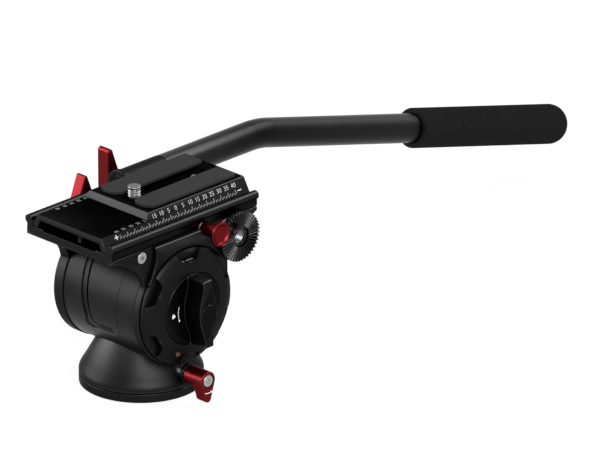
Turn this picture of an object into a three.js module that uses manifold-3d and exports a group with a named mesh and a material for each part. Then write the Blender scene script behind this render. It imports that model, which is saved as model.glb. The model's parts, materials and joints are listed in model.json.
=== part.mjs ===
// Fluid video head: a pan base, a tilting drum between two cheeks, a sliding camera plate and a pan bar.
// Lengths are in millimetres and angles in degrees. +Z is up, +Y points back along the pan bar to the
// operator, and +X points to the side with the knob, the scale and the release button.
// The origin is the centre of the base's underside.
import * as THREE from 'three';
import { mergeVertices } from 'three/addons/utils/BufferGeometryUtils.js';
import Module from 'manifold-3d';

// Driving dimensions

const GAP = 0.3;
const OVERRUN = 1;

// How many flats stand for a full round, and how many for one curve of an outline
const sides = {
  large: 44,
  wide: 32,
  medium: 20,
  round: 18,
  small: 12,
  tiny: 8,
  outline: 18,
  arc: 7,
  corner: 4,
};

const base = {
  radius: 30,
  thickness: 4.3,
  edge: 0.4,
  screwCount: 3,
  screwCircle: 11.6,
  screwHoleRadius: 1.3,
  screwSinkRadius: 2.6,
  screwSinkDepth: 2.1,
};

const bush = {
  threadRadius: 4.4,
  wall: 2.1,
  flangeRadius: 8.2,
  flangeThickness: 1.6,
  recess: 0.2,
  height: 11.5,
  socketDepth: 10,
};

const shaft = {
  footRadius: 15,
  footThickness: 2.4,
  columnRadius: 10.5,
  threadRadius: 7,
  nutProtrusion: 0.3,
  drumClearance: 0.2,
};

const panNut = { radius: 13, thickness: 3 };
const panWasher = { radius: 13.8, thickness: 0.6 };
const panBearing = { wall: 2.5, height: 2.6 };
const panDragRing = { radius: 20, thickness: 1.8 };
const panShoe = { length: 3.4, radius: 2.3 };
const seal = { innerRadius: 24.5, width: 3, thickness: 1 };

const cone = {
  skirtHeight: 1.4,
  shoulderInset: 2.7,
  shoulderHeight: 7,
  shoulderPullInset: 0.3,
  shoulderPullHeight: 1.6,
  shoulderSteps: 6,
  topRadius: 19,
  topBelowAxis: 20.8,
  webFloor: 9.4,
  wellRadius: 21.5,
  nutWellRadius: 15,
};

const drum = {
  radius: 29.5,
  nearEnd: 25.1,
  farEnd: 22.6,
  boreRadius: 24.5,
  edge: 0.5,
  grooveDepth: 1,
  grooveFarEdge: 10.1,
  grooveWidth: 3.3,
  grooveLegEnd: 8.4,
  grooveLegWidth: 2.2,
  grooveLegAngle: 204.7,
};

const drumCover = { thickness: 3, recess: 0.6 };
const tiltBearing = { wall: 3.4 };
const axle = { radius: 6.3, recess: 0.3 };
const drag = {
  discRadius: 22.5,
  discThickness: 1.8,
  discCount: 3,
  plateThickness: 1.2,
  clearance: 0.6,
  plateBore: 9,
};
const arbor = { radius: 12.2 };
const torsionSpring = { wireRadius: 1.4, turns: 5, pitch: 4, play: 1.5, stepsPerTurn: 8, flats: 5 };

const cheek = {
  nearThickness: 3.6,
  farThickness: 5.94,
  radius: 30,
  top: 35.8,
  waistAngle: 148,
  frontTip: 45.3,
  frontTipHeight: 33.8,
  flarePlace: 33.3,
  flareHeight: 28.9,
  waistPlace: 26.5,
  waistHeight: 23.9,
  rearTip: 49.9,
  rearCorner: 2.6,
  rearBossRadius: 12.5,
  drumClearance: 0.6,
};

const panel = {
  thickness: 2.2,
  topHalfWidth: 20,
  neckHalfWidth: 17.5,
  neckHeight: 29,
  flareHalfWidth: 21.5,
  flareHeight: 23,
  footAngle: 26.3,
  dialClearance: 0.4,
};

const cheekScrew = {
  headRadius: 2.9,
  headHeight: 1.6,
  shankRadius: 1.6,
  length: 9,
  frontPlace: 26.8,
  frontHeight: 31.9,
  rearPlace: 28.2,
  rearHeight: 32.3,
};

const bed = {
  front: 47.2,
  rear: 50.2,
  lipLength: 1.6,
  bottom: 33.9,
  floor: 38.7,
  halfWidth: 28.7,
  recessHalfWidth: 17.8,
  recessDepth: 0.75,
  beadRadius: 2.2,
  beadHeight: 41.6,
  beadOuter: 30,
  lugInner: 15,
  lugHalfLength: 3.4,
  lugDepth: 5.9,
};

const plate = {
  front: 46.9,
  rear: 50,
  raisedFront: 14,
  rampLength: 2.3,
  rampHeight: 2.6,
  height: 9.8,
  frontHeight: 6.7,
  topHalfWidth: 19.8,
  flankAngle: 30,
  footHeight: 1,
  web: 3,
  leg: 3.2,
  slotHalfWidth: 3.5,
  slotFront: 7.5,
  slotRear: 41.5,
  ledgeWidth: 0.9,
  ledgeDepth: 1.6,
  stopRadius: 1.4,
  stopInset: 2.2,
};

const pad = { inner: 4.9, outer: 17.9, front: 11, rear: 47.5, height: 1.5, rearCorner: 2.5, frontCorner: 5 };

const cameraScrew = {
  place: 3.7,
  threadRadius: 3.175,
  threadLength: 5,
  protrusion: 5.2,
  tipChamfer: 0.5,
  shankRadius: 2.4,
  headRadius: 7.5,
  headHeight: 1.5,
  washerRadius: 8,
  washerThickness: 0.5,
};

const videoPin = { place: 36.2, radius: 1.6, belowTop: 1.5, footRadius: 5.4, footThickness: 1.2 };

const dialHub = { wall: 3.6, thickness: 2.2 };

const dial = {
  radius: 29.2,
  rimThickness: 2,
  edgeRadius: 28.3,
  edgeHeight: 3.1,
  crownRadius: 24.5,
  crownHeight: 4.85,
  shoulderRadius: 21,
  shoulderHeight: 5.85,
  height: 6.45,
  notchCount: 6,
  notchFloor: 24,
  notchWidth: 17.6,
  notchFloorWidth: 9.8,
};

const knob = {
  radius: 17.6,
  thickness: 3.95,
  gripLength: 34.6,
  gripHeight: 10.75,
  gripMiddleWidth: 11.4,
  gripEndWidth: 5.2,
  gripTilt: 2,
  bossRadius: 4.93,
  bossHeight: 0.44,
  studRadius: 3,
  studLength: 13.8,
  studCap: 2.75,
};

const panLock = {
  ringClearance: 1.1,
  dialClearance: 0.5,
  coneClearance: 1,
  hubRadius: 4.65,
  hubLength: 12.5,
  armThickness: 6.7,
  armLength: 9.3,
  tipRadius: 1.9,
  spindleRadius: 2.4,
  spindleInset: 3.9,
  collarRadius: 5,
  collarThickness: 2.1,
  screwHeadRadius: 3,
  screwHeadHeight: 1.4,
  screwShankRadius: 1.5,
};

const rosette = {
  place: 33.9,
  height: 26.3,
  radius: 12.5,
  face: 34.5,
  discThickness: 3,
  toothCount: 40,
  toothDepth: 1.2,
  recessRadius: 5.3,
  recessDepth: 0.2,
  neckRadius: 8.5,
  insertRadius: 4.3,
  insertBore: 3.3,
  insertInner: 27.5,
};

const button = {
  place: 14.3,
  height: 35.3,
  discRadius: 6,
  face: 41,
  rimThickness: 1.2,
  dish: 0.7,
  flareLength: 3.4,
  stemRadius: 3.2,
  stemStart: 29,
  rodRadius: 1,
  rodEnd: 10.3,
  travel: 2.5,
  pocketFloor: 22.4,
};

const returnSpring = { radius: 2.4, wireRadius: 0.35, turns: 4, stepsPerTurn: 8, flats: 5 };

const latch = {
  aside: 5.5,
  halfWidth: 1.6,
  pinPlace: 1,
  pinRadius: 1.5,
  pinTop: 39.7,
  armHeight: 1.6,
  armBase: 34.9,
};

const plateLock = {
  place: 3.1,
  height: 35.3,
  hubRadius: 5.5,
  armInner: 33.4,
  armOuter: 39.5,
  armLength: 12.45,
  tipRadius: 1.05,
  spindleRadius: 1.3,
  spindleEnd: 24.5,
  collarRadius: 2.6,
};

const jaw = { halfLength: 15, depth: 1.6, travel: 0.6, foot: 37.6, top: 41.3 };

const cap = { radius: 14, thickness: 1.86, edge: 0.6 };

const bar = {
  rosetteClearance: 0.5,
  rise: 5.3,
  front: 6.3,
  bodyRear: 22.1,
  bodyRadius: 7.4,
  flangeRadius: 8,
  flangeLength: 2.6,
  discThickness: 4,
  bossRadius: 6.4,
  bossReach: 8.1,
  capRadius: 5.3,
  capThickness: 1.6,
  tubeRadius: 7.25,
  tubeBore: 6,
  plugLength: 4,
  spigotRadius: 5.6,
  spigotLength: 14,
  bendStart: 80.5,
  bendRadius: 50,
  bendAngle: 15.27,
  bendSteps: 8,
};

const grip = { start: 192, length: 107.2, radius: 9.85, faceEdge: 0.8, endWall: 12, tubeShort: 0.6 };

const barLock = {
  hubRadius: 4.9,
  thickness: 7.5,
  armLength: 19.4,
  tipRadius: 1.6,
  boltRadius: 3,
  boltTip: 26,
};

// Places worked out from the sizes above; the near side is at positive x and the far side at negative x

const nearSide = {
  core: drum.nearEnd,
  inner: drum.nearEnd + GAP,
  outer: drum.nearEnd + GAP + cheek.nearThickness,
};

const farSide = {
  core: drum.farEnd,
  inner: drum.farEnd + GAP,
  outer: drum.farEnd + GAP + cheek.farThickness,
};

const panelFace = nearSide.outer + panel.thickness;
const shaftFloor = base.thickness + GAP;
const dragRingFloor = shaftFloor + shaft.footThickness + GAP;
const panLockHeight = dragRingFloor + panDragRing.thickness + panLock.ringClearance + panShoe.radius;
const panLockStart = base.radius + panLock.coneClearance + panLock.collarThickness + GAP;
const panLockFace = panLockStart + panLock.hubLength;
const panSpindleEnd = panLockFace - panLock.spindleInset;
const axisHeight = panLockHeight + panLock.collarRadius + panLock.dialClearance + dial.radius;
const shaftTop = axisHeight - drum.boreRadius - shaft.drumClearance;
const nutFloor = shaftTop - shaft.nutProtrusion - panNut.thickness;
const washerFloor = nutFloor - GAP - panWasher.thickness;
const columnTop = washerFloor - GAP;
const dialBack = nearSide.outer + GAP;
const dialFace = dialBack + dial.height;
const knobBack = dialFace - knob.thickness;
const plateFloor = bed.floor + GAP;
const plateTop = plateFloor + plate.height;
const webFloor = plateFloor + plate.frontHeight - plate.web;
const footTop = plateFloor + plate.footHeight;
const barTeeth = rosette.face + GAP;
const barAside = rosette.face + bar.rosetteClearance + bar.flangeRadius;
const barBossEnd = barAside + bar.bossReach;
const barLockInner = barBossEnd + GAP;
const barLockOuter = barLockInner + barLock.thickness;
const barLockSeat = barLockInner + barLock.thickness / 2;
const drumCentre = [0, axisHeight];
const rosetteCentre = [rosette.place, rosette.height];
const buttonCentre = [button.place, button.height];
const plateLockCentre = [-plateLock.place, plateLock.height];
const barCentre = [-barAside, bar.rise];

// Finishes

const finishes = {
  black: { color: 0x1c1c1d, roughness: 0.45, metalness: 0.6 },
  red: { color: 0xb4161c, roughness: 0.3, metalness: 0.7 },
  steel: { color: 0xb9babc, roughness: 0.3, metalness: 1 },
  brass: { color: 0xb08d4a, roughness: 0.4, metalness: 1 },
  rubber: { color: 0x363636, roughness: 0.9, metalness: 0 },
  plastic: { color: 0x17181a, roughness: 0.55, metalness: 0 },
  foam: { color: 0x0f0f10, roughness: 1, metalness: 0 },
};

for (const name of Object.keys(finishes)) {
  finishes[name] = new THREE.MeshStandardMaterial(finishes[name]);
}

// Solids

const wasm = await Module();
wasm.setup();

const radians = THREE.MathUtils.degToRad;

// Shares the vertices of touching triangles and drops the triangles that have no area.
function mergedGeometry(geometry) {
  const plain = geometry.clone();
  plain.deleteAttribute('normal');
  plain.deleteAttribute('uv');
  const merged = mergeVertices(plain);
  const corners = merged.index.array;
  const kept = [];
  for (let i = 0; i < corners.length; i += 3) {
    const [a, b, c] = corners.slice(i, i + 3);
    if (a !== b && b !== c && c !== a) {
      kept.push(a, b, c);
    }
  }
  merged.setIndex(kept);
  return merged;
}

function signedVolume(geometry) {
  const place = geometry.getAttribute('position');
  const corners = geometry.index.array;
  const a = new THREE.Vector3();
  const b = new THREE.Vector3();
  const c = new THREE.Vector3();
  let volume = 0;
  for (let i = 0; i < corners.length; i += 3) {
    a.fromBufferAttribute(place, corners[i]);
    b.fromBufferAttribute(place, corners[i + 1]);
    c.fromBufferAttribute(place, corners[i + 2]);
    volume += a.dot(b.cross(c)) / 6;
  }
  return volume;
}

// Turns a geometry's faces outwards, whichever way its outline was drawn.
function facingOut(geometry) {
  const merged = mergedGeometry(geometry);
  if (signedVolume(merged) < 0) {
    merged.index.array.reverse();
  }
  return merged;
}

function solidOf(geometry) {
  const merged = facingOut(geometry);
  return new wasm.Manifold(new wasm.Mesh({
    numProp: 3,
    vertProperties: Float32Array.from(merged.getAttribute('position').array),
    triVerts: Uint32Array.from(merged.index.array),
  }));
}

function geometryOf(solid) {
  const mesh = solid.getMesh();
  const geometry = new THREE.BufferGeometry();
  geometry.setAttribute('position', new THREE.BufferAttribute(mesh.vertProperties, 3));
  geometry.setIndex(new THREE.BufferAttribute(mesh.triVerts, 1));
  return geometry;
}

function join(first, ...others) {
  return geometryOf(others.reduce((whole, other) => whole.add(solidOf(other)), solidOf(first)));
}

function cut(body, ...tools) {
  return geometryOf(tools.reduce((whole, tool) => whole.subtract(solidOf(tool)), solidOf(body)));
}

function overlapOf(first, second) {
  return geometryOf(solidOf(first).intersect(solidOf(second)));
}

function turnToAxis(geometry, direction) {
  if (direction === 'x') {
    geometry.rotateZ(radians(-90));
  } else if (direction === 'z') {
    geometry.rotateX(radians(90));
  }
  return geometry;
}

function placeAcross(geometry, direction, across) {
  if (direction === 'x') {
    geometry.translate(0, across[0], across[1]);
  } else if (direction === 'y') {
    geometry.translate(across[0], 0, across[1]);
  } else {
    geometry.translate(across[0], across[1], 0);
  }
  return geometry;
}

// A body of revolution along an axis. The profile lists [radius, place along the axis].
function turned(direction, profile, segments, across = [0, 0]) {
  const points = profile.map(([radius, along]) => new THREE.Vector2(radius, along));
  const geometry = new THREE.LatheGeometry(points, segments);
  return facingOut(placeAcross(turnToAxis(geometry, direction), direction, across));
}

function rod(direction, radius, from, to, segments, across = [0, 0]) {
  return turned(direction, [[0, from], [radius, from], [radius, to], [0, to]], segments, across);
}

function ring(direction, inner, outer, from, to, segments, across = [0, 0]) {
  const profile = [[inner, from], [outer, from], [outer, to], [inner, to], [inner, from]];
  return turned(direction, profile, segments, across);
}

function block(x0, x1, y0, y1, z0, z1) {
  const geometry = new THREE.BoxGeometry(x1 - x0, y1 - y0, z1 - z0);
  return facingOut(geometry.translate((x0 + x1) / 2, (y0 + y1) / 2, (z0 + z1) / 2));
}

function shapeOf(points) {
  return new THREE.Shape(points.map(([a, b]) => new THREE.Vector2(a, b)));
}

// A slab whose outline lies in the plane across the axis: (y, z) for x, (x, z) for y and (x, y) for z.
function slab(direction, shape, from, to, curveSegments = 8) {
  const settings = { depth: to - from, bevelEnabled: false, curveSegments };
  const geometry = new THREE.ExtrudeGeometry(shape, settings);
  const basis = new THREE.Matrix4();
  if (direction === 'x') {
    basis.makeBasis(new THREE.Vector3(0, 1, 0), new THREE.Vector3(0, 0, 1), new THREE.Vector3(1, 0, 0));
    geometry.applyMatrix4(basis).translate(from, 0, 0);
  } else if (direction === 'y') {
    basis.makeBasis(new THREE.Vector3(1, 0, 0), new THREE.Vector3(0, 0, 1), new THREE.Vector3(0, -1, 0));
    geometry.applyMatrix4(basis).translate(0, to, 0);
  } else {
    geometry.translate(0, 0, from);
  }
  return facingOut(geometry);
}

function mirroredX(geometry) {
  return facingOut(geometry.clone().scale(-1, 1, 1));
}

function mesh(name, geometry, finish) {
  const made = new THREE.Mesh(geometry, finishes[finish]);
  made.name = name;
  return made;
}

// Joins a run of equal loops of points into one closed skin, the last loop back to the first.
function skinOf(loops) {
  const size = loops[0].length;
  const corners = [];
  for (let i = 0; i < loops.length; i += 1) {
    const here = i * size;
    const next = ((i + 1) % loops.length) * size;
    for (let k = 0; k < size; k += 1) {
      const after = (k + 1) % size;
      corners.push(here + k, next + k, next + after);
      corners.push(here + k, next + after, here + after);
    }
  }
  const geometry = new THREE.BufferGeometry();
  geometry.setAttribute('position', new THREE.Float32BufferAttribute(loops.flat(2), 3));
  geometry.setIndex(corners);
  return facingOut(geometry);
}

function regularOutline(radius, flats) {
  const points = [];
  for (let i = 0; i < flats; i += 1) {
    const angle = 2 * Math.PI * i / flats;
    points.push([radius * Math.cos(angle), radius * Math.sin(angle)]);
  }
  return points;
}

// An unbroken wire wound round an axis along x.
class Helix extends THREE.Curve {
  constructor(coilRadius, start, turns, pitch) {
    super();
    Object.assign(this, { coilRadius, start, turns, pitch });
  }

  getPoint(t) {
    const angle = 2 * Math.PI * this.turns * t;
    const along = this.start + this.pitch * this.turns * t;
    return new THREE.Vector3(along, this.coilRadius * Math.cos(angle), this.coilRadius * Math.sin(angle));
  }
}

function coilAlongX(name, wire, coilRadius, start, pitch, across) {
  const { wireRadius, turns, stepsPerTurn, flats } = wire;
  const path = new Helix(coilRadius, start, turns, pitch);
  const steps = turns * stepsPerTurn;
  const section = shapeOf(regularOutline(wireRadius, flats));
  const geometry = new THREE.ExtrudeGeometry(section, { steps, extrudePath: path, bevelEnabled: false });
  const points = path.getPoints(steps);
  let least = Infinity;
  for (let i = 0; i < points.length; i += 1) {
    for (let k = i + stepsPerTurn / 2; k < points.length; k += 1) {
      least = Math.min(least, points[i].distanceTo(points[k]));
    }
  }
  console.log(`${name}: least gap between turns ${(least - 2 * wireRadius).toFixed(2)} mm`);
  return facingOut(placeAcross(geometry, 'x', across));
}

// A lever arm seen along its hub's axis: a round hub at the origin and a narrower round tip straight below.
function leverOutline(hubRadius, armLength, tipRadius) {
  const lean = Math.asin((hubRadius - tipRadius) / armLength);
  const shape = new THREE.Shape();
  shape.absarc(0, 0, hubRadius, -lean, Math.PI + lean, false);
  shape.absarc(0, -armLength, tipRadius, Math.PI + lean, 2 * Math.PI - lean, false);
  shape.closePath();
  return shape;
}

// Base

function baseScrewPlaces() {
  const places = [];
  for (let i = 0; i < base.screwCount; i += 1) {
    const angle = 2 * Math.PI * i / base.screwCount;
    places.push([base.screwCircle * Math.cos(angle), base.screwCircle * Math.sin(angle)]);
  }
  return places;
}

function basePlate() {
  const { radius, thickness, edge } = base;
  const disc = turned('z', [
    [0, 0],
    [radius - edge, 0],
    [radius, edge],
    [radius, thickness - edge],
    [radius - edge, thickness],
    [0, thickness],
  ], sides.large);
  const flangeTop = bush.recess + bush.flangeThickness + GAP;
  const cuts = [
    rod('z', bush.flangeRadius + GAP, -OVERRUN, flangeTop, sides.small),
    rod('z', bush.threadRadius + bush.wall + GAP, 0, thickness + OVERRUN, sides.small),
  ];
  for (const place of baseScrewPlaces()) {
    cuts.push(rod('z', base.screwSinkRadius, -OVERRUN, base.screwSinkDepth, sides.tiny, place));
    cuts.push(rod('z', base.screwHoleRadius, 0, thickness + OVERRUN, sides.tiny, place));
  }
  return mesh('base_plate', cut(disc, ...cuts), 'black');
}

function tripodThreadBush() {
  const { recess, flangeRadius, flangeThickness, threadRadius, wall, height, socketDepth } = bush;
  const outer = threadRadius + wall;
  const body = turned('z', [
    [0, recess],
    [flangeRadius, recess],
    [flangeRadius, recess + flangeThickness],
    [outer, recess + flangeThickness],
    [outer, height],
    [0, height],
  ], sides.small);
  const socket = rod('z', threadRadius, 0, recess + socketDepth, sides.small);
  return mesh('tripod_thread_bush', cut(body, socket), 'steel');
}

function panShaft() {
  const footEnd = shaftFloor + shaft.footThickness;
  const body = turned('z', [
    [0, shaftFloor],
    [shaft.footRadius, shaftFloor],
    [shaft.footRadius, footEnd],
    [shaft.columnRadius, footEnd],
    [shaft.columnRadius, columnTop],
    [shaft.threadRadius, columnTop],
    [shaft.threadRadius, shaftTop],
    [0, shaftTop],
  ], sides.round);
  const cuts = [rod('z', bush.threadRadius + bush.wall + GAP, 0, bush.height + GAP, sides.small)];
  for (const place of baseScrewPlaces()) {
    cuts.push(rod('z', base.screwHoleRadius, 0, footEnd - GAP, sides.tiny, place));
  }
  return mesh('pan_shaft', cut(body, ...cuts), 'steel');
}

function panWasherRing() {
  const inner = shaft.threadRadius + GAP;
  const top = washerFloor + panWasher.thickness;
  return mesh('pan_washer', ring('z', inner, panWasher.radius, washerFloor, top, sides.small), 'steel');
}

function panNutRing() {
  const inner = shaft.threadRadius + GAP;
  const body = ring('z', inner, panNut.radius, nutFloor, nutFloor + panNut.thickness, sides.small);
  return mesh('pan_nut', body, 'steel');
}

// Pan housing

function coneBody() {
  const shoulder = new THREE.QuadraticBezierCurve(
    new THREE.Vector2(base.radius, shaftFloor + cone.skirtHeight),
    new THREE.Vector2(
      base.radius - cone.shoulderPullInset,
      shaftFloor + cone.skirtHeight + cone.shoulderPullHeight,
    ),
    new THREE.Vector2(base.radius - cone.shoulderInset, shaftFloor + cone.shoulderHeight),
  );
  const profile = [
    [0, shaftFloor],
    [base.radius - base.edge, shaftFloor],
    [base.radius, shaftFloor + base.edge],
  ];
  for (const point of shoulder.getPoints(cone.shoulderSteps)) {
    profile.push([point.x, point.y]);
  }
  profile.push([cone.topRadius, axisHeight - cone.topBelowAxis]);
  profile.push([0, axisHeight - cone.topBelowAxis]);
  return turned('z', profile, sides.large);
}

function drumBody() {
  const { radius, nearEnd, farEnd, edge } = drum;
  return turned('x', [
    [0, -farEnd],
    [radius - edge, -farEnd],
    [radius, edge - farEnd],
    [radius, nearEnd - edge],
    [radius - edge, nearEnd],
    [0, nearEnd],
  ], sides.large, drumCentre);
}

// The styling groove runs from the rear over the drum and down its front, and there turns along the drum.
function drumGroove() {
  const { radius, grooveDepth, grooveWidth, grooveLegWidth, grooveLegAngle } = drum;
  const start = -drum.grooveFarEdge;
  const end = start + grooveWidth;
  const floor = radius - grooveDepth;
  const band = ring('x', floor, radius + OVERRUN, start, end, sides.large, drumCentre);
  const reach = radians(grooveLegAngle) + grooveLegWidth / (2 * radius);
  const sector = new THREE.Shape();
  sector.moveTo(0, 0);
  sector.absarc(0, 0, 2 * radius, 0, reach, false);
  sector.closePath();
  const wedge = placeAcross(slab('x', sector, start - OVERRUN, end + OVERRUN), 'x', drumCentre);
  const half = grooveLegWidth / 2;
  const leg = block(start, drum.grooveLegEnd, -half, half, floor, radius + OVERRUN);
  leg.rotateX(radians(grooveLegAngle - 90));
  return [overlapOf(band, wedge), placeAcross(leg, 'x', drumCentre)];
}

function panHousing() {
  const far = base.radius + OVERRUN;
  const sealInner = seal.innerRadius - GAP;
  const sealOuter = seal.innerRadius + seal.width + GAP;
  const bearingBore = shaft.columnRadius + GAP + panBearing.wall + GAP;
  const besideCheek = cheek.radius + cheek.drumClearance;
  const body = cut(
    join(coneBody(), drumBody()),
    rod('x', drum.boreRadius, -drum.farEnd - OVERRUN, drum.nearEnd + OVERRUN, sides.wide, drumCentre),
    rod('x', besideCheek, drum.nearEnd, far, sides.wide, drumCentre),
    rod('x', besideCheek, -far, -drum.farEnd, sides.wide, drumCentre),
    rod('z', cone.wellRadius, 0, cone.webFloor, sides.medium),
    rod('z', bearingBore, 0, columnTop + OVERRUN, sides.round),
    rod('z', cone.nutWellRadius, columnTop, axisHeight - drum.boreRadius + OVERRUN, sides.round),
    rod('x', panLock.spindleRadius + GAP, 0, far, sides.tiny, [0, panLockHeight]),
    ring('z', sealInner, sealOuter, 0, shaftFloor + seal.thickness + GAP, sides.medium),
    ...drumGroove(),
  );
  return mesh('pan_housing', body, 'black');
}

function baseSealRing() {
  const outer = seal.innerRadius + seal.width;
  const top = shaftFloor + seal.thickness;
  return mesh('base_seal_ring', ring('z', seal.innerRadius, outer, shaftFloor, top, sides.medium), 'rubber');
}

function panBearingRing() {
  const inner = shaft.columnRadius + GAP;
  const floor = columnTop - panBearing.height;
  const body = ring('z', inner, inner + panBearing.wall, floor, columnTop, sides.round);
  return mesh('pan_bearing', body, 'brass');
}

function panDragDisc() {
  const inner = shaft.columnRadius + GAP;
  const top = dragRingFloor + panDragRing.thickness;
  const body = ring('z', inner, panDragRing.radius, dragRingFloor, top, sides.round);
  return mesh('pan_drag_ring', body, 'plastic');
}

function panBrakeShoe() {
  const start = shaft.columnRadius + GAP;
  const shoe = rod('x', panShoe.radius, start, start + panShoe.length, sides.tiny, [0, panLockHeight]);
  return mesh('pan_brake_shoe', shoe, 'brass');
}

function drumCovers() {
  const bore = axle.radius + GAP + tiltBearing.wall + GAP;
  const rim = drum.boreRadius - GAP;
  const nearEnd = drum.nearEnd - drumCover.recess;
  const farEnd = drumCover.recess - drum.farEnd;
  const near = ring('x', bore, rim, nearEnd - drumCover.thickness, nearEnd, sides.medium, drumCentre);
  const far = ring('x', bore, rim, farEnd, farEnd + drumCover.thickness, sides.medium, drumCentre);
  return [mesh('drum_cover_near', near, 'black'), mesh('drum_cover_far', far, 'black')];
}

function tiltBearings() {
  const inner = axle.radius + GAP;
  const outer = inner + tiltBearing.wall;
  const nearEnd = drum.nearEnd - drumCover.recess;
  const farEnd = drumCover.recess - drum.farEnd;
  const near = ring('x', inner, outer, nearEnd - drumCover.thickness, nearEnd, sides.round, drumCentre);
  const far = ring('x', inner, outer, farEnd, farEnd + drumCover.thickness, sides.round, drumCentre);
  return [mesh('tilt_bearing_near', near, 'brass'), mesh('tilt_bearing_far', far, 'brass')];
}

// The drag stack starts inside the near cover: turning discs and fixed plates by turns.
function dragDiscStart(index) {
  const nearCoverInside = drum.nearEnd - drumCover.recess - drumCover.thickness;
  const step = drag.discThickness + drag.plateThickness + 2 * drag.clearance;
  return nearCoverInside - drag.clearance - drag.discThickness - index * step;
}

function dragPlates() {
  const plates = [];
  for (let i = 0; i < drag.discCount - 1; i += 1) {
    const end = dragDiscStart(i) - drag.clearance;
    const rim = drum.boreRadius - GAP;
    const body = ring('x', drag.plateBore, rim, end - drag.plateThickness, end, sides.medium, drumCentre);
    plates.push(mesh(`drag_plate_${i + 1}`, body, 'black'));
  }
  return plates;
}

function farCoverInside() {
  return drumCover.recess + drumCover.thickness - drum.farEnd;
}

function counterbalanceSpring() {
  const coilRadius = arbor.radius + torsionSpring.play + torsionSpring.wireRadius;
  const start = farCoverInside() + GAP + torsionSpring.wireRadius;
  const name = 'counterbalance_spring';
  const body = coilAlongX(name, torsionSpring, coilRadius, start, torsionSpring.pitch, drumCentre);
  return mesh(name, body, 'steel');
}

// Pan lock, in the frame of its own hub's axis

function panLockLever() {
  const { hubRadius, armLength, tipRadius, spindleRadius } = panLock;
  const outline = leverOutline(hubRadius, armLength, tipRadius);
  const arm = slab('x', outline, panLockFace - panLock.armThickness, panLockFace, sides.arc);
  const headSeat = panLockFace - panLock.screwHeadHeight - GAP;
  const body = cut(
    join(rod('x', hubRadius, panLockStart, panLockFace, sides.round), arm),
    rod('x', spindleRadius + GAP, panLockStart - OVERRUN, panSpindleEnd + GAP, sides.tiny),
    rod('x', panLock.screwShankRadius + GAP, panLockStart, panLockFace, sides.tiny),
    rod('x', panLock.screwHeadRadius + GAP, headSeat, panLockFace + OVERRUN, sides.small),
  );
  return mesh('pan_lock_lever', body, 'red');
}

function panLockSpindle() {
  const start = shaft.columnRadius + GAP + panShoe.length + GAP;
  const body = rod('x', panLock.spindleRadius, start, panSpindleEnd, sides.tiny);
  return mesh('pan_lock_spindle', body, 'steel');
}

function panLockCollar() {
  const end = panLockStart - GAP;
  const inner = panLock.spindleRadius + GAP;
  const body = ring('x', inner, panLock.collarRadius, end - panLock.collarThickness, end, sides.small);
  return mesh('pan_lock_collar', body, 'plastic');
}

function panLockScrew() {
  const { screwHeadRadius, screwHeadHeight, screwShankRadius } = panLock;
  const headBack = panLockFace - screwHeadHeight;
  const body = turned('x', [
    [0, panSpindleEnd + GAP],
    [screwShankRadius, panSpindleEnd + GAP],
    [screwShankRadius, headBack],
    [screwHeadRadius, headBack],
    [screwHeadRadius, panLockFace],
    [0, panLockFace],
  ], sides.small);
  return mesh('pan_lock_screw', body, 'steel');
}

// Tilting cheeks, in the frame of the tilt axis

// A side plate's outline: a round lobe below, a waist and flare in front, and behind them a boss and
// the clamp's corner.
function cheekOutline() {
  const { radius, top, rearBossRadius, rearTip, rearCorner } = cheek;
  const waist = radians(cheek.waistAngle);
  const bossStart = -Math.PI / 2 - Math.asin((rosette.place - radius) / rearBossRadius);
  const bossEnd = Math.asin((bed.bottom - rearCorner - rosette.height) / rearBossRadius);
  const shape = new THREE.Shape();
  shape.moveTo(-cheek.frontTip, top);
  shape.lineTo(-cheek.frontTip, cheek.frontTipHeight);
  shape.bezierCurveTo(
    -cheek.flarePlace,
    cheek.flareHeight,
    -cheek.waistPlace,
    cheek.waistHeight,
    radius * Math.cos(waist),
    radius * Math.sin(waist),
  );
  shape.absarc(0, 0, radius, waist, 2 * Math.PI, false);
  shape.absarc(rosette.place, rosette.height, rearBossRadius, bossStart, bossEnd, false);
  shape.lineTo(rearTip - rearCorner, bed.bottom - rearCorner / 2);
  shape.lineTo(rearTip, bed.bottom);
  shape.lineTo(rearTip, top);
  shape.closePath();
  return shape;
}

// The raised panel stands above the dial and widens downwards on both sides of it.
function panelOutline() {
  const { topHalfWidth, neckHalfWidth, neckHeight, flareHalfWidth, flareHeight } = panel;
  const foot = radians(panel.footAngle);
  const footHalfWidth = cheek.radius * Math.cos(foot);
  const footHeight = cheek.radius * Math.sin(foot);
  const shape = new THREE.Shape();
  shape.moveTo(-topHalfWidth, cheek.top);
  shape.bezierCurveTo(-neckHalfWidth, neckHeight, -flareHalfWidth, flareHeight, -footHalfWidth, footHeight);
  shape.lineTo(footHalfWidth, footHeight);
  shape.bezierCurveTo(flareHalfWidth, flareHeight, neckHalfWidth, neckHeight, topHalfWidth, cheek.top);
  shape.closePath();
  return shape;
}

function cheekScrewPlaces() {
  return [
    [-cheekScrew.frontPlace, cheekScrew.frontHeight],
    [cheekScrew.rearPlace, cheekScrew.rearHeight],
  ];
}

function cheekHoles(side) {
  const from = side.inner - OVERRUN;
  const to = side.outer + OVERRUN;
  const headSeat = side.outer - cheekScrew.headHeight - GAP;
  const holes = [
    rod('x', axle.radius + GAP, from, to, sides.round),
    rod('x', rosette.insertRadius + GAP, from, to, sides.small, rosetteCentre),
  ];
  for (const place of cheekScrewPlaces()) {
    holes.push(rod('x', cheekScrew.headRadius + GAP, headSeat, panelFace + OVERRUN, sides.small, place));
    holes.push(rod('x', cheekScrew.shankRadius + GAP, from, to, sides.tiny, place));
  }
  return holes;
}

function buttonPocket() {
  const reach = panelFace + OVERRUN;
  return rod('x', button.stemRadius + GAP, button.pocketFloor, reach, sides.small, buttonCentre);
}

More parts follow.
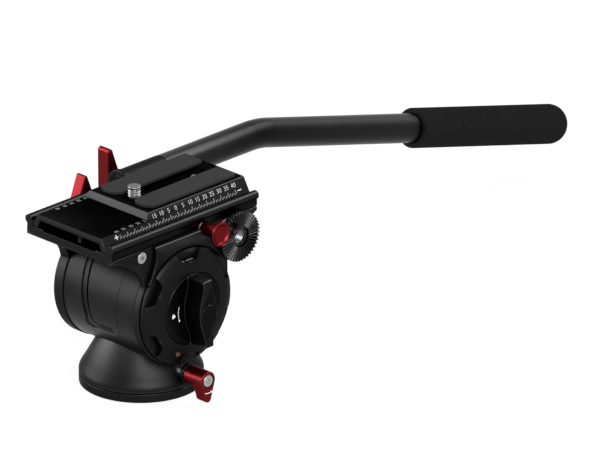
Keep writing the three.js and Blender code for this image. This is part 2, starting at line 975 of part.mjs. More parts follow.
function nearCheek() {
  const sidePlate = slab('x', cheekOutline(), nearSide.inner, nearSide.outer, sides.outline);
  const raised = slab('x', panelOutline(), nearSide.outer - OVERRUN, panelFace, sides.arc);
  const roomRadius = dial.radius + panel.dialClearance;
  const dialRoom = rod('x', roomRadius, nearSide.outer, panelFace + OVERRUN, sides.large);
  const body = cut(join(sidePlate, cut(raised, dialRoom)), buttonPocket(), ...cheekHoles(nearSide));
  return mesh('near_cheek', body, 'black');
}

function farCheek() {
  const sidePlate = slab('x', cheekOutline(), farSide.inner, farSide.outer, sides.outline);
  const boreRadius = plateLock.spindleRadius + GAP;
  const spindleBore = rod('x', boreRadius, 0, farSide.outer + OVERRUN, sides.tiny, plateLockCentre);
  return mesh('far_cheek', mirroredX(cut(sidePlate, spindleBore, ...cheekHoles(farSide))), 'black');
}

function axleCap() {
  const start = farSide.outer + GAP;
  const body = turned('x', [
    [0, start],
    [cap.radius, start],
    [cap.radius, start + cap.thickness - cap.edge],
    [cap.radius - cap.edge, start + cap.thickness],
    [0, start + cap.thickness],
  ], sides.medium);
  return mesh('axle_cap', mirroredX(body), 'plastic');
}

function studEnd() {
  return knobBack + knob.studCap - knob.studLength;
}

function tiltAxle() {
  const end = dialBack + dialHub.thickness - axle.recess;
  const body = rod('x', axle.radius, axle.recess - farSide.outer, end, sides.round);
  const hole = rod('x', knob.studRadius + GAP, studEnd() - GAP, end + OVERRUN, sides.small);
  return mesh('tilt_axle', cut(body, hole), 'steel');
}

function dragDiscs() {
  const discs = [];
  const bore = axle.radius + GAP;
  for (let i = 0; i < drag.discCount; i += 1) {
    const from = dragDiscStart(i);
    const body = ring('x', bore, drag.discRadius, from, from + drag.discThickness, sides.medium);
    discs.push(mesh(`drag_disc_${i + 1}`, body, 'steel'));
  }
  return discs;
}

function springArbor() {
  const end = dragDiscStart(drag.discCount - 1) - drag.clearance;
  const body = ring('x', axle.radius + GAP, arbor.radius, farCoverInside() + GAP, end, sides.round);
  return mesh('spring_arbor', body, 'black');
}

function cheekScrewBody(side, place) {
  const { headRadius, headHeight, shankRadius, length } = cheekScrew;
  return turned('x', [
    [0, side.outer - length],
    [shankRadius, side.outer - length],
    [shankRadius, side.outer - headHeight],
    [headRadius, side.outer - headHeight],
    [headRadius, side.outer],
    [0, side.outer],
  ], sides.small, place);
}

function cheekScrews() {
  const [front, rear] = cheekScrewPlaces();
  return [
    mesh('cheek_screw_near_front', cheekScrewBody(nearSide, front), 'steel'),
    mesh('cheek_screw_near_rear', cheekScrewBody(nearSide, rear), 'steel'),
    mesh('cheek_screw_far_front', mirroredX(cheekScrewBody(farSide, front)), 'steel'),
    mesh('cheek_screw_far_rear', mirroredX(cheekScrewBody(farSide, rear)), 'steel'),
  ];
}

// Clamp bed

// Half the camera plate's width at a height above the tilt axis; its flanks lean inwards as they rise.
function flankAt(height) {
  return plate.topHalfWidth + (plateTop - height) * Math.tan(radians(plate.flankAngle));
}

// One half of the bed's section, from its underside round the rail's bead to the recess in its floor.
function bedHalfOutline(side) {
  const beadPlace = bed.beadOuter - bed.beadRadius;
  const drop = Math.acos((bed.halfWidth - beadPlace) / bed.beadRadius);
  const beadSteps = 9;
  const points = [
    [side.core, bed.bottom],
    [side.core, cheek.top + GAP],
    [bed.halfWidth, cheek.top + GAP],
  ];
  for (let i = 0; i <= beadSteps; i += 1) {
    const angle = (Math.PI + drop) * i / beadSteps - drop;
    const across = beadPlace + bed.beadRadius * Math.cos(angle);
    points.push([across, bed.beadHeight + bed.beadRadius * Math.sin(angle)]);
  }
  points.push([flankAt(bed.beadHeight) + GAP, bed.beadHeight]);
  points.push([flankAt(footTop) + GAP, footTop]);
  points.push([flankAt(footTop) + GAP, bed.floor]);
  points.push([bed.recessHalfWidth, bed.floor]);
  points.push([bed.recessHalfWidth, bed.floor - bed.recessDepth]);
  return points;
}

function bedProfile() {
  const near = bedHalfOutline(nearSide);
  const far = bedHalfOutline(farSide).map(([x, z]) => [-x, z]).reverse();
  return slab('y', shapeOf([...near, ...far]), -bed.front, bed.rear);
}

function bedLugs(side) {
  return cheekScrewPlaces().map(([y]) => block(
    bed.lugInner,
    side.core,
    y - bed.lugHalfLength,
    y + bed.lugHalfLength,
    bed.bottom - bed.lugDepth,
    bed.bottom + OVERRUN,
  ));
}

function bedScrewHoles(side) {
  const tip = side.outer - cheekScrew.length - GAP;
  const radius = cheekScrew.shankRadius + GAP;
  return cheekScrewPlaces().map((place) => rod('x', radius, tip, side.inner, sides.tiny, place));
}

// The button's rod runs in a channel that is open below.
function rodChannel() {
  const half = button.rodRadius + GAP;
  const { aside } = latch;
  const end = button.pocketFloor + OVERRUN;
  const floor = bed.bottom - OVERRUN;
  return [
    rod('x', half, aside, bed.halfWidth, sides.tiny, buttonCentre),
    block(aside, end, button.place - half, button.place + half, floor, button.height),
  ];
}

function latchPocket() {
  const { aside, halfWidth, pinPlace, pinRadius, armHeight, armBase } = latch;
  const wide = halfWidth + GAP;
  const start = pinPlace - wide;
  const end = button.place + wide;
  return [
    block(aside - wide, aside + wide, start, end, bed.bottom - OVERRUN, armBase + armHeight + GAP),
    rod('z', pinRadius + GAP, bed.bottom, bed.beadHeight, sides.tiny, [aside, pinPlace]),
  ];
}

function jawInner() {
  return flankAt(footTop) + GAP;
}

function jawPocket() {
  const length = jaw.halfLength + GAP;
  const back = jawInner() + jaw.depth + jaw.travel + GAP;
  const front = jawInner() - GAP;
  const lipTop = jaw.top + GAP;
  const start = -plateLock.place - length;
  const end = length - plateLock.place;
  return [
    block(-back, -front, start, end, jaw.foot - GAP, lipTop),
    block(-back, -flankAt(lipTop), start, end, footTop, lipTop),
  ];
}

function clampBed() {
  const lipTop = bed.floor - bed.recessDepth;
  const lipBack = bed.lipLength - bed.front;
  const lip = block(-bed.halfWidth, bed.halfWidth, -bed.front, lipBack, bed.bottom, lipTop);
  const farLugs = bedLugs(farSide).map(mirroredX);
  const farHoles = bedScrewHoles(farSide).map(mirroredX);
  const boreRadius = plateLock.spindleRadius + GAP;
  const boreEnd = plateLock.spindleEnd - GAP;
  const leverBore = rod('x', boreRadius, boreEnd, bed.beadOuter, sides.tiny, plateLockCentre);
  const body = cut(
    join(bedProfile(), lip, ...bedLugs(nearSide), ...farLugs),
    ...bedScrewHoles(nearSide),
    ...farHoles,
    ...rodChannel(),
    ...latchPocket(),
    ...jawPocket(),
    buttonPocket(),
    mirroredX(leverBore),
  );
  return mesh('clamp_bed', body, 'black');
}

function releaseCatch() {
  const { aside, halfWidth, pinPlace, pinRadius, pinTop, armHeight, armBase } = latch;
  const start = pinPlace - halfWidth;
  const end = button.place + halfWidth;
  const arm = block(aside - halfWidth, aside + halfWidth, start, end, armBase, armBase + armHeight);
  const pin = rod('z', pinRadius, armBase, pinTop, sides.tiny, [aside, pinPlace]);
  return mesh('release_catch', join(arm, pin), 'steel');
}

function clampJaw() {
  const back = jawInner() + jaw.depth;
  const outline = shapeOf([
    [-back, jaw.foot],
    [-jawInner(), jaw.foot],
    [-jawInner(), footTop],
    [-flankAt(jaw.top) - GAP, jaw.top],
    [-back, jaw.top],
  ]);
  const start = -plateLock.place - jaw.halfLength;
  return mesh('clamp_jaw', slab('y', outline, start, start + 2 * jaw.halfLength), 'steel');
}

// Rosettes: a thin toothed disc on a neck, with a threaded steel insert

// Radial V teeth, twice as many slots as teeth; their tips and valleys would meet at the disc's centre.
function toothedDisc(inner, outer, back, tip) {
  const loops = [];
  const slots = 2 * rosette.toothCount;
  for (let i = 0; i < slots; i += 1) {
    const angle = 2 * Math.PI * i / slots;
    const place = (x, radius) => [x, radius * Math.cos(angle), radius * Math.sin(angle)];
    const faceAt = (radius) => {
      const share = radius / outer;
      const valley = i % 2 === 0 ? 0 : rosette.toothDepth * share;
      return tip - rosette.toothDepth * (1 - share) / 2 - valley;
    };
    loops.push([
      place(back, inner),
      place(faceAt(inner), inner),
      place(faceAt(outer), outer),
      place(back, outer),
    ]);
  }
  return skinOf(loops);
}

function headRosette(side) {
  const { radius, face, discThickness, toothDepth, recessRadius, recessDepth, neckRadius } = rosette;
  const back = face - discThickness;
  const screwAway = [cheekScrew.rearPlace - rosette.place, cheekScrew.rearHeight - rosette.height];
  const insertEnd = face - toothDepth;
  const body = cut(
    join(
      toothedDisc(recessRadius, radius, back, face),
      rod('x', recessRadius + OVERRUN, back, insertEnd - recessDepth, sides.round),
      rod('x', neckRadius, side.outer + GAP, back + OVERRUN, sides.round),
    ),
    rod('x', rosette.insertRadius + GAP, 0, face, sides.small),
    rod('x', cheekScrew.headRadius + GAP, 0, face + OVERRUN, sides.small, screwAway),
  );
  return placeAcross(body, 'x', rosetteCentre);
}

function rosettes() {
  return [
    mesh('near_rosette', headRosette(nearSide), 'black'),
    mesh('far_rosette', mirroredX(headRosette(farSide)), 'black'),
  ];
}

function rosetteInserts() {
  const { insertBore, insertRadius, insertInner, face, toothDepth } = rosette;
  const end = face - toothDepth;
  const insert = ring('x', insertBore, insertRadius, insertInner, end, sides.small, rosetteCentre);
  return [
    mesh('near_rosette_insert', insert, 'steel'),
    mesh('far_rosette_insert', mirroredX(insert), 'steel'),
  ];
}

// Dial and tilt lock knob

function dialHubRing() {
  const inner = knob.radius - dialHub.wall;
  const body = ring('x', inner, knob.radius, dialBack, dialBack + dialHub.thickness, sides.medium);
  return mesh('dial_hub', body, 'plastic');
}

function notchOutline() {
  const reach = dial.radius + OVERRUN;
  return shapeOf([
    [-dial.notchWidth / 2, reach],
    [-dial.notchFloorWidth / 2, dial.notchFloor],
    [dial.notchFloorWidth / 2, dial.notchFloor],
    [dial.notchWidth / 2, reach],
  ]);
}

function dragDial() {
  const bore = knob.radius + GAP;
  const body = turned('x', [
    [bore, dialBack],
    [dial.radius, dialBack],
    [dial.radius, dialBack + dial.rimThickness],
    [dial.edgeRadius, dialBack + dial.edgeHeight],
    [dial.crownRadius, dialBack + dial.crownHeight],
    [dial.shoulderRadius, dialBack + dial.shoulderHeight],
    [bore, dialFace],
    [bore, dialBack],
  ], sides.large);
  const notches = [];
  for (let i = 0; i < dial.notchCount; i += 1) {
    const notch = slab('x', notchOutline(), dialBack + dial.rimThickness, dialFace + OVERRUN);
    notches.push(notch.rotateX(2 * Math.PI * i / dial.notchCount));
  }
  return mesh('drag_dial', cut(body, ...notches), 'black');
}

// The grip bar is wide in the middle and narrow at both ends, seen along the tilt axis.
function gripBarOutline() {
  const half = knob.gripLength / 2;
  const end = knob.gripEndWidth / 2;
  const middle = knob.gripMiddleWidth / 2;
  const shape = new THREE.Shape();
  shape.moveTo(-end, -half);
  shape.bezierCurveTo(-end, -half / 2, -middle, -half / 2, -middle, 0);
  shape.bezierCurveTo(-middle, half / 2, -end, half / 2, -end, half);
  shape.lineTo(end, half);
  shape.bezierCurveTo(end, half / 2, middle, half / 2, middle, 0);
  shape.bezierCurveTo(middle, -half / 2, end, -half / 2, end, -half);
  shape.closePath();
  return shape;
}

function tiltLockKnob() {
  const gripTop = dialFace + knob.gripHeight;
  const disc = rod('x', knob.radius, knobBack, dialFace, sides.wide);
  const room = rod('x', knob.radius, knobBack, gripTop, sides.wide);
  const gripBar = slab('x', gripBarOutline(), knobBack, gripTop, sides.arc);
  gripBar.rotateX(radians(knob.gripTilt));
  const boss = rod('x', knob.bossRadius, knobBack, gripTop + knob.bossHeight, sides.round);
  const holeEnd = knobBack + knob.studCap + GAP;
  const studHole = rod('x', knob.studRadius + GAP, knobBack - OVERRUN, holeEnd, sides.small);
  const body = cut(join(disc, overlapOf(gripBar, room), boss), studHole);
  return mesh('tilt_lock_knob', body, 'plastic');
}

function tiltLockStud() {
  const body = rod('x', knob.studRadius, studEnd(), knobBack + knob.studCap, sides.small);
  return mesh('tilt_lock_stud', body, 'steel');
}

// Release button, in the frame of its own axis

function releaseButton() {
  const { discRadius, face, rimThickness, dish, flareLength } = button;
  const { stemRadius, stemStart, rodRadius, rodEnd } = button;
  const rimBack = face - rimThickness;
  const body = turned('x', [
    [0, rodEnd],
    [rodRadius, rodEnd],
    [rodRadius, stemStart],
    [stemRadius, stemStart],
    [stemRadius, rimBack - flareLength],
    [(stemRadius + discRadius) / 2, rimBack - flareLength / 3],
    [discRadius, rimBack],
    [discRadius, face - rimThickness / 3],
    [discRadius - rimThickness, face],
    [discRadius / 2, face - dish],
    [0, face - dish],
  ], sides.round);
  return mesh('release_button', body, 'red');
}

function releaseSpring() {
  const { wireRadius, turns, radius } = returnSpring;
  const start = button.pocketFloor + GAP + wireRadius;
  const end = button.stemStart - GAP - wireRadius;
  const name = 'release_spring';
  const pitch = (end - start) / turns;
  const body = coilAlongX(name, returnSpring, radius - wireRadius, start, pitch, buttonCentre);
  return mesh(name, body, 'steel');
}

// Plate lock lever, in the frame of its own axis on the far side

function plateLockLever() {
  const { hubRadius, armInner, armOuter, armLength, tipRadius, spindleRadius } = plateLock;
  const arm = slab('x', leverOutline(hubRadius, armLength, tipRadius), armInner, armOuter, sides.arc);
  arm.rotateX(Math.PI);
  const hole = rod('x', spindleRadius + GAP, armInner - OVERRUN, (armInner + armOuter) / 2, sides.tiny);
  return mesh('plate_lock_lever', mirroredX(cut(arm, hole)), 'red');
}

function plateLockSpindle() {
  const { spindleRadius, collarRadius, spindleEnd, armInner, armOuter } = plateLock;
  const end = (armInner + armOuter) / 2 - GAP;
  const body = turned('x', [
    [0, spindleEnd],
    [spindleRadius, spindleEnd],
    [spindleRadius, bed.beadOuter + GAP],
    [collarRadius, bed.beadOuter + GAP],
    [collarRadius, armInner - GAP],
    [spindleRadius, armInner - GAP],
    [spindleRadius, end],
    [0, end],
  ], sides.small);
  return mesh('plate_lock_spindle', mirroredX(body), 'steel');
}

// Camera plate

// The plate's section up to a given height: leaning flanks outside and a channel below.
function plateOutline(height) {
  const top = plateFloor + height;
  const foot = flankAt(footTop);
  const shoulder = flankAt(webFloor) - plate.leg;
  const half = [
    [shoulder, webFloor],
    [foot - plate.leg, plateFloor],
    [foot, plateFloor],
    [foot, footTop],
    [flankAt(top), top],
  ];
  return shapeOf([...half, ...half.map(([x, z]) => [-x, z]).reverse()]);
}

function slottedShape(halfWidth, front, rear) {
  const shape = new THREE.Shape();
  shape.absarc(0, rear - halfWidth, halfWidth, 0, Math.PI, false);
  shape.absarc(0, front + halfWidth, halfWidth, Math.PI, 2 * Math.PI, false);
  shape.closePath();
  return shape;
}

function plateStops() {
  const places = [plate.stopInset - plate.front, plate.rear - plate.stopInset];
  const top = webFloor + plate.stopRadius;
  return places.map((y) => rod('z', plate.stopRadius, plateFloor, top, sides.tiny, [latch.aside, y]));
}

function slidingPlate() {
  const { front, rear, raisedFront, rampLength, rampHeight, slotHalfWidth, slotFront, slotRear } = plate;
  const raised = slab('y', plateOutline(plate.height), -raisedFront, rear);
  const low = slab('y', plateOutline(plate.frontHeight), -front, OVERRUN - raisedFront);
  const platform = plateFloor + plate.frontHeight;
  const ramp = slab('x', shapeOf([
    [-raisedFront - rampLength, platform],
    [OVERRUN - raisedFront, platform],
    [OVERRUN - raisedFront, plateTop],
    [-raisedFront, plateTop],
    [-raisedFront - rampLength, plateTop - rampHeight],
  ]), -flankAt(platform), flankAt(platform));
  const flanks = slab('y', plateOutline(plate.height), -front, OVERRUN - raisedFront);
  const slot = slottedShape(slotHalfWidth, -slotFront, slotRear);
  const { ledgeWidth } = plate;
  const ledge = slottedShape(slotHalfWidth + ledgeWidth, -slotFront - ledgeWidth, slotRear + ledgeWidth);
  const body = cut(
    join(raised, low, overlapOf(ramp, flanks), ...plateStops()),
    slab('z', slot, plateFloor, plateTop + OVERRUN, sides.corner),
    slab('z', ledge, plateTop - plate.ledgeDepth, plateTop + OVERRUN, sides.corner),
  );
  return mesh('sliding_plate', body, 'black');
}

function padBody() {
  const { inner, outer, front, rear, rearCorner, frontCorner } = pad;
  const shape = new THREE.Shape();
  shape.moveTo(inner + frontCorner, -front);
  shape.absarc(outer - frontCorner, frontCorner - front, frontCorner, -Math.PI / 2, 0, false);
  shape.absarc(outer - rearCorner, rear - rearCorner, rearCorner, 0, Math.PI / 2, false);
  shape.absarc(inner + rearCorner, rear - rearCorner, rearCorner, Math.PI / 2, Math.PI, false);
  shape.absarc(inner + frontCorner, frontCorner - front, frontCorner, Math.PI, 1.5 * Math.PI, false);
  shape.closePath();
  return slab('z', shape, plateTop, plateTop + pad.height, sides.corner);
}

function pads() {
  return [mesh('near_pad', padBody(), 'rubber'), mesh('far_pad', mirroredX(padBody()), 'rubber')];
}

function washerBase() {
  return webFloor - GAP - cameraScrew.washerThickness;
}

function cameraScrewBody() {
  const { threadRadius, threadLength, protrusion, tipChamfer } = cameraScrew;
  const { shankRadius, headRadius, headHeight } = cameraScrew;
  const top = plateTop + protrusion;
  const headTop = washerBase() - GAP;
  const body = turned('z', [
    [0, headTop - headHeight],
    [headRadius, headTop - headHeight],
    [headRadius, headTop],
    [shankRadius, headTop],
    [shankRadius, top - threadLength],
    [threadRadius, top - threadLength],
    [threadRadius, top - tipChamfer],
    [threadRadius - tipChamfer, top],
    [0, top],
  ], sides.small);
  return mesh('camera_screw', body, 'steel');
}

function screwWasher() {
  const inner = cameraScrew.shankRadius + GAP;
  const body = ring('z', inner, cameraScrew.washerRadius, washerBase(), webFloor - GAP, sides.small);
  return mesh('screw_washer', body, 'plastic');
}

function videoPinBody() {
  const { radius, belowTop, footRadius, footThickness, place } = videoPin;
  const seat = webFloor - GAP;
  const body = turned('z', [
    [0, seat - footThickness],
    [footRadius, seat - footThickness],
    [footRadius, seat],
    [radius, seat],
    [radius, plateTop - belowTop],
    [0, plateTop - belowTop],
  ], sides.small, [0, place]);
  return mesh('video_pin', body, 'steel');
}

// Pan bar, in the frame of its rosette's centre on the far side

function barHolder() {
  const { front, bodyRear, flangeLength, capRadius, capThickness } = bar;
  const { recessRadius, toothDepth } = rosette;
  const back = barTeeth + bar.discThickness;
  const spigotRoom = bodyRear - bar.spigotLength - GAP;
  const body = cut(
    join(
      toothedDisc(recessRadius, rosette.radius, -back, -barTeeth),
      rod('x', recessRadius + OVERRUN, -back, -barTeeth - toothDepth - rosette.recessDepth, sides.round),
      rod('x', bar.bossRadius, -barBossEnd, -back + OVERRUN, sides.small),
      rod('y', bar.bodyRadius, -front, bodyRear, sides.round, barCentre),
      rod('y', bar.flangeRadius, -front, flangeLength - front, sides.round, barCentre),
    ),
    rod('x', barLock.boltRadius + GAP, -barLockOuter, 0, sides.small),
    rod('y', bar.spigotRadius + GAP, spigotRoom, bodyRear + OVERRUN, sides.small, barCentre),
    rod('y', capRadius + GAP, -front - OVERRUN, capThickness + GAP - front, sides.small, barCentre),
  );
  return mesh('bar_holder', body, 'black');
}

function barFrontCap() {
  const body = rod('y', bar.capRadius, -bar.front, bar.capThickness - bar.front, sides.small, barCentre);
  return mesh('bar_front_cap', body, 'plastic');
}

// The bar's centre line in the plane of its bend: straight, one bend down, then straight to the grip.
function barLine(from, to) {
  const bend = radians(bar.bendAngle);
  const stations = [{ y: from, z: bar.rise, angle: 0 }];
  for (let i = 0; i <= bar.bendSteps; i += 1) {
    const angle = bend * i / bar.bendSteps;
    const y = bar.bendStart + bar.bendRadius * Math.sin(angle);
    const z = bar.rise - bar.bendRadius * (1 - Math.cos(angle));
    stations.push({ y, z, angle });
  }
  const last = stations.at(-1);
  stations.push({ y: to, z: last.z - (to - last.y) * Math.tan(bend), angle: bend });
  return stations;
}

function pipe(radius, flats, stations) {
  const loopAt = ({ y, z, angle }, size) => regularOutline(size, flats).map(([across, up]) => [
    across - barAside,
    y + up * Math.sin(angle),
    z + up * Math.cos(angle),
  ]);
  const loops = stations.map((station) => loopAt(station, radius));
  return skinOf([loopAt(stations[0], 0), ...loops, loopAt(stations.at(-1), 0)]);
}

function panBarTube() {
  const start = bar.bodyRear + GAP;
  const spigotStart = bar.bodyRear - bar.spigotLength;
  const insideGrip = grip.length - grip.endWall - grip.tubeShort;
  const end = grip.start + insideGrip * Math.cos(radians(bar.bendAngle));
  const body = cut(
    pipe(bar.tubeRadius, sides.round, barLine(start, end)),
    pipe(bar.tubeBore, sides.small, barLine(start + bar.plugLength, end + OVERRUN)),
  );
  const spigot = rod('y', bar.spigotRadius, spigotStart, start + OVERRUN, sides.small, barCentre);
  return mesh('pan_bar_tube', join(body, spigot), 'black');
}

// The foam grip is a body of revolution about the bar's last straight run.
function gripBody() {
  const { start, length, radius, faceEdge, endWall } = grip;
  const bore = bar.tubeRadius + GAP;
  const profile = [
    [0, length - endWall],
    [bore, length - endWall],
    [bore, 0],
    [radius - faceEdge, 0],
    [radius, faceEdge],
  ];
  const domeSteps = 8;
  for (let i = 0; i < domeSteps; i += 1) {
    const angle = Math.PI / 2 * i / domeSteps;
    profile.push([radius * Math.cos(angle), length - radius + radius * Math.sin(angle)]);
  }
  profile.push([0, length]);
  const body = turned('y', profile, sides.round);
  body.rotateX(-radians(bar.bendAngle));
  const place = barLine(0, start).at(-1);
  return mesh('grip', body.translate(-barAside, place.y, place.z), 'foam');
}

function barLockLever() {
  const { hubRadius, armLength, tipRadius, boltRadius } = barLock;
  const outline = leverOutline(hubRadius, armLength, tipRadius);
  const arm = slab('x', outline, barLockInner, barLockOuter, sides.arc);
  arm.rotateX(Math.PI);
  const hole = rod('x', boltRadius + GAP, barLockInner - OVERRUN, barLockSeat, sides.small);
  return mesh('bar_lock_lever', mirroredX(cut(arm, hole)), 'red');
}

function barLockBolt() {
  const body = rod('x', barLock.boltRadius, barLock.boltTip, barLockSeat - GAP, sides.small);
  return mesh('bar_lock_bolt', mirroredX(body), 'steel');
}

// Assembly

function groupAt(x, y, z, ...children) {
  const group = new THREE.Group();
  group.position.set(x, y, z);
  group.add(...children);
  return group;
}

function baseParts() {
  return groupAt(0, 0, 0, basePlate(), tripodThreadBush(), panShaft(), panWasherRing(), panNutRing());
}

function panLockParts() {
  const pieces = [panLockLever(), panLockSpindle(), panLockCollar(), panLockScrew()];
  return groupAt(0, 0, panLockHeight, ...pieces);
}

function plateParts() {
  const screw = groupAt(0, -cameraScrew.place, 0, cameraScrewBody(), screwWasher());
  return groupAt(0, 0, 0, slidingPlate(), ...pads(), screw, videoPinBody());
}

function barParts() {
  const pieces = [barHolder(), barFrontCap(), panBarTube(), gripBody(), barLockLever(), barLockBolt()];
  return groupAt(0, ...rosetteCentre, ...pieces);
}

function tiltParts() {
  return groupAt(
    0,
    0,
    axisHeight,
    tiltAxle(),
    springArbor(),
    ...dragDiscs(),
    nearCheek(),
    farCheek(),
    axleCap(),
    clampBed(),
    ...cheekScrews(),
    ...rosettes(),
    ...rosetteInserts(),
    dialHubRing(),
    dragDial(),
    tiltLockKnob(),
    tiltLockStud(),
    releaseSpring(),
    releaseCatch(),
    clampJaw(),
    groupAt(0, ...buttonCentre, releaseButton()),
    groupAt(0, ...plateLockCentre, plateLockLever(), plateLockSpindle()),
    plateParts(),
    barParts(),
  );
}

function panParts() {
  return groupAt(
    0,
    0,
    0,
    panHousing(),
    baseSealRing(),
    panBearingRing(),
    panDragDisc(),
    panBrakeShoe(),
    ...drumCovers(),
    ...tiltBearings(),
    ...dragPlates(),
    counterbalanceSpring(),
    panLockParts(),
    tiltParts(),
  );
}

export default groupAt(0, 0, 0, baseParts(), panParts());
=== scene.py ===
# Fluid video head: fine surfaces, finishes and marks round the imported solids.
# Sizes are in millimetres in each piece's dictionary, and become metres when a mesh is made. Angles are in degrees.
import json

import bmesh
import bpy
import numpy as np
from mathutils import Matrix, Vector


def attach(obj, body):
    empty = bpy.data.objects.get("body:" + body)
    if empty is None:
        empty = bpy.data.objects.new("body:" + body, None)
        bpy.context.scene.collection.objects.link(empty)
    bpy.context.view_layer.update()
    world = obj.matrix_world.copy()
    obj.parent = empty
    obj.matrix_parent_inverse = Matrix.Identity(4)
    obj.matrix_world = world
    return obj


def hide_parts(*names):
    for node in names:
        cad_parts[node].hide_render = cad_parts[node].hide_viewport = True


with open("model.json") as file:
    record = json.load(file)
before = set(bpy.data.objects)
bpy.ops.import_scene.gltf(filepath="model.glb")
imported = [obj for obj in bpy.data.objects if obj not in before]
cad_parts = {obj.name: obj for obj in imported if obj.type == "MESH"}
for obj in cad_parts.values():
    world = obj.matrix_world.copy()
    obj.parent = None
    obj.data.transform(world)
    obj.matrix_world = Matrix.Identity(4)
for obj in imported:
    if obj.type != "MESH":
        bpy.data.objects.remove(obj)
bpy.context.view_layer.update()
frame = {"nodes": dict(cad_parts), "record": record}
mm = 0.001
axisZ = 47.2  # height of the tilt axis
axle = (0, axisZ)  # the tilt axle's centre, across x or across y
gap = 0.3  # room round a shaft and beside a moving part
other = np.array([-1.0, 1.0])  # takes an outline to the other side
cornerShare = 0.45  # a softened corner takes up to this share of each side
mitreShare = 0.4  # a sharp corner's mitre grows up to the move divided by this
print("frame loaded:", len(frame["nodes"]), "nodes")

# Shapes: each one is a pair, its points in millimetres and its faces.


def quads(rows, columns, closed=False):
    # cell (r, c) joins points (r, c), (r, c+1), (r+1, c+1) and (r+1, c); columns wrap, and closed rows too
    r = np.arange(rows if closed else rows - 1)[:, None]
    c = np.arange(columns)[None, :]
    rNext, cNext = (r + 1) % rows, (c + 1) % columns
    corners = (r * columns + c, r * columns + cNext, rNext * columns + cNext, rNext * columns + c)
    return np.stack(np.broadcast_arrays(*corners), -1).reshape(-1, 4).tolist()


def toAxis(axis, a, b, along, centre=(0.0, 0.0)):
    # two places across an axis and one along it, as x, y, z
    a, b, along = np.broadcast_arrays(a + centre[0], b + centre[1], along)
    order = {"x": (along, a, b), "y": (a, along, b), "z": (a, b, along)}[axis]
    return np.stack(order, -1).reshape(-1, 3)


def turned(axis, profile, centre=(0.0, 0.0), columns=96, ripple=None):
    # surface of revolution: a = r cos t and b = r sin t, with t going once round the axis
    rows = np.asarray(profile, float)
    turn = np.arange(columns) * 2 * np.pi / columns if np.isscalar(columns) else np.asarray(columns)
    radius = np.repeat(rows[:, :1], len(turn), 1)
    along = np.repeat(rows[:, 1:], len(turn), 1)
    if ripple is not None:
        radius, along = ripple(radius, along, turn[None, :])
    points = toAxis(axis, radius * np.cos(turn), radius * np.sin(turn), along, centre)
    return points, quads(len(rows), len(turn), rows[0, 0] > 0)


def softened(points, reach, steps=5, closed=False):
    # each corner c gives way to (1-s)^2 p + 2s(1-s) c + s^2 q, with p and q on its two sides at the given reach
    points = np.asarray(points, float)
    reach = np.broadcast_to(reach, len(points))
    s = np.linspace(0, 1, steps + 1)[:, None]
    runs = []
    for i, corner in enumerate(points):
        atEnd = not closed and i in (0, len(points) - 1)
        if atEnd or reach[i] <= 0:
            runs.append(corner[None])
            continue
        before, after = points[i - 1] - corner, points[(i + 1) % len(points)] - corner
        lengths = np.linalg.norm(before), np.linalg.norm(after)
        p = corner + before / lengths[0] * min(reach[i], cornerShare * lengths[0])
        q = corner + after / lengths[1] * min(reach[i], cornerShare * lengths[1])
        runs.append((1 - s) ** 2 * p + 2 * s * (1 - s) * corner + s**2 * q)
    return np.concatenate(runs)


def stepped(sizes, reach):
    # profile of a stepped shaft with softened corners: places along it and the radii between them take turns
    places, radii = sizes[::2], sizes[1::2]
    corners = [(0, places[0])]
    for radius, start, end in zip(radii, places, places[1:]):
        corners += [(radius, start), (radius, end)]
    return softened(corners + [(0, places[-1])], reach)


def ring(axis, inner, outer, low, high, centre=(0.0, 0.0), columns=96, edge=0.0):
    # a turned ring of four sides
    corners = [(inner, low), (outer, low), (outer, high), (inner, high)]
    return turned(axis, softened(corners, edge, closed=True), centre, columns)


def rod(axis, radius, low, high, centre=(0.0, 0.0), columns=64):
    # a turned cylinder
    return turned(axis, [(0, low), (radius, low), (radius, high), (0, high)], centre, columns)


def rowsAt(radius, places):
    # profile rows at one radius
    return np.stack([np.full(len(places), radius), places], -1)


def arc(centre, radius, start, end, steps=24):
    # centre + radius * (cos t, sin t), with t from start to end
    t = np.radians(np.linspace(start, end, steps + 1))
    return np.stack([centre[0] + radius * np.cos(t), centre[1] + radius * np.sin(t)], -1)


def bezier(p0, p1, p2, p3, steps=16):
    # (1-s)^3 p0 + 3s(1-s)^2 p1 + 3s^2(1-s) p2 + s^3 p3
    s = np.linspace(0, 1, steps + 1)[:, None]
    p0, p1, p2, p3 = (np.asarray(p, float) for p in (p0, p1, p2, p3))
    return (1 - s) ** 3 * p0 + 3 * s * (1 - s) ** 2 * p1 + 3 * s**2 * (1 - s) * p2 + s**3 * p3


def tidyOutline(outline):
    # drops repeated points and turns the outline counter-clockwise
    outline = np.asarray(outline, float)
    step = np.linalg.norm(outline - np.roll(outline, 1, 0), axis=1)
    outline = outline[step > 1e-4]
    after = np.roll(outline, -1, 0)
    area = np.sum(outline[:, 0] * after[:, 1] - outline[:, 1] * after[:, 0])
    return outline if area > 0 else outline[::-1]


def inwards(outline, amount):
    # every point moves along its mitre, so that each side moves square to itself by the amount
    before = outline - np.roll(outline, 1, 0)
    after = np.roll(outline, -1, 0) - outline
    before /= np.linalg.norm(before, axis=1)[:, None]
    after /= np.linalg.norm(after, axis=1)[:, None]
    normal = np.stack([-before[:, 1] - after[:, 1], before[:, 0] + after[:, 0]], -1)
    normal /= np.linalg.norm(normal, axis=1)[:, None]
    share = np.maximum(np.sum(normal * np.stack([-before[:, 1], before[:, 0]], -1), 1), mitreShare)
    return outline + amount * normal / share[:, None]


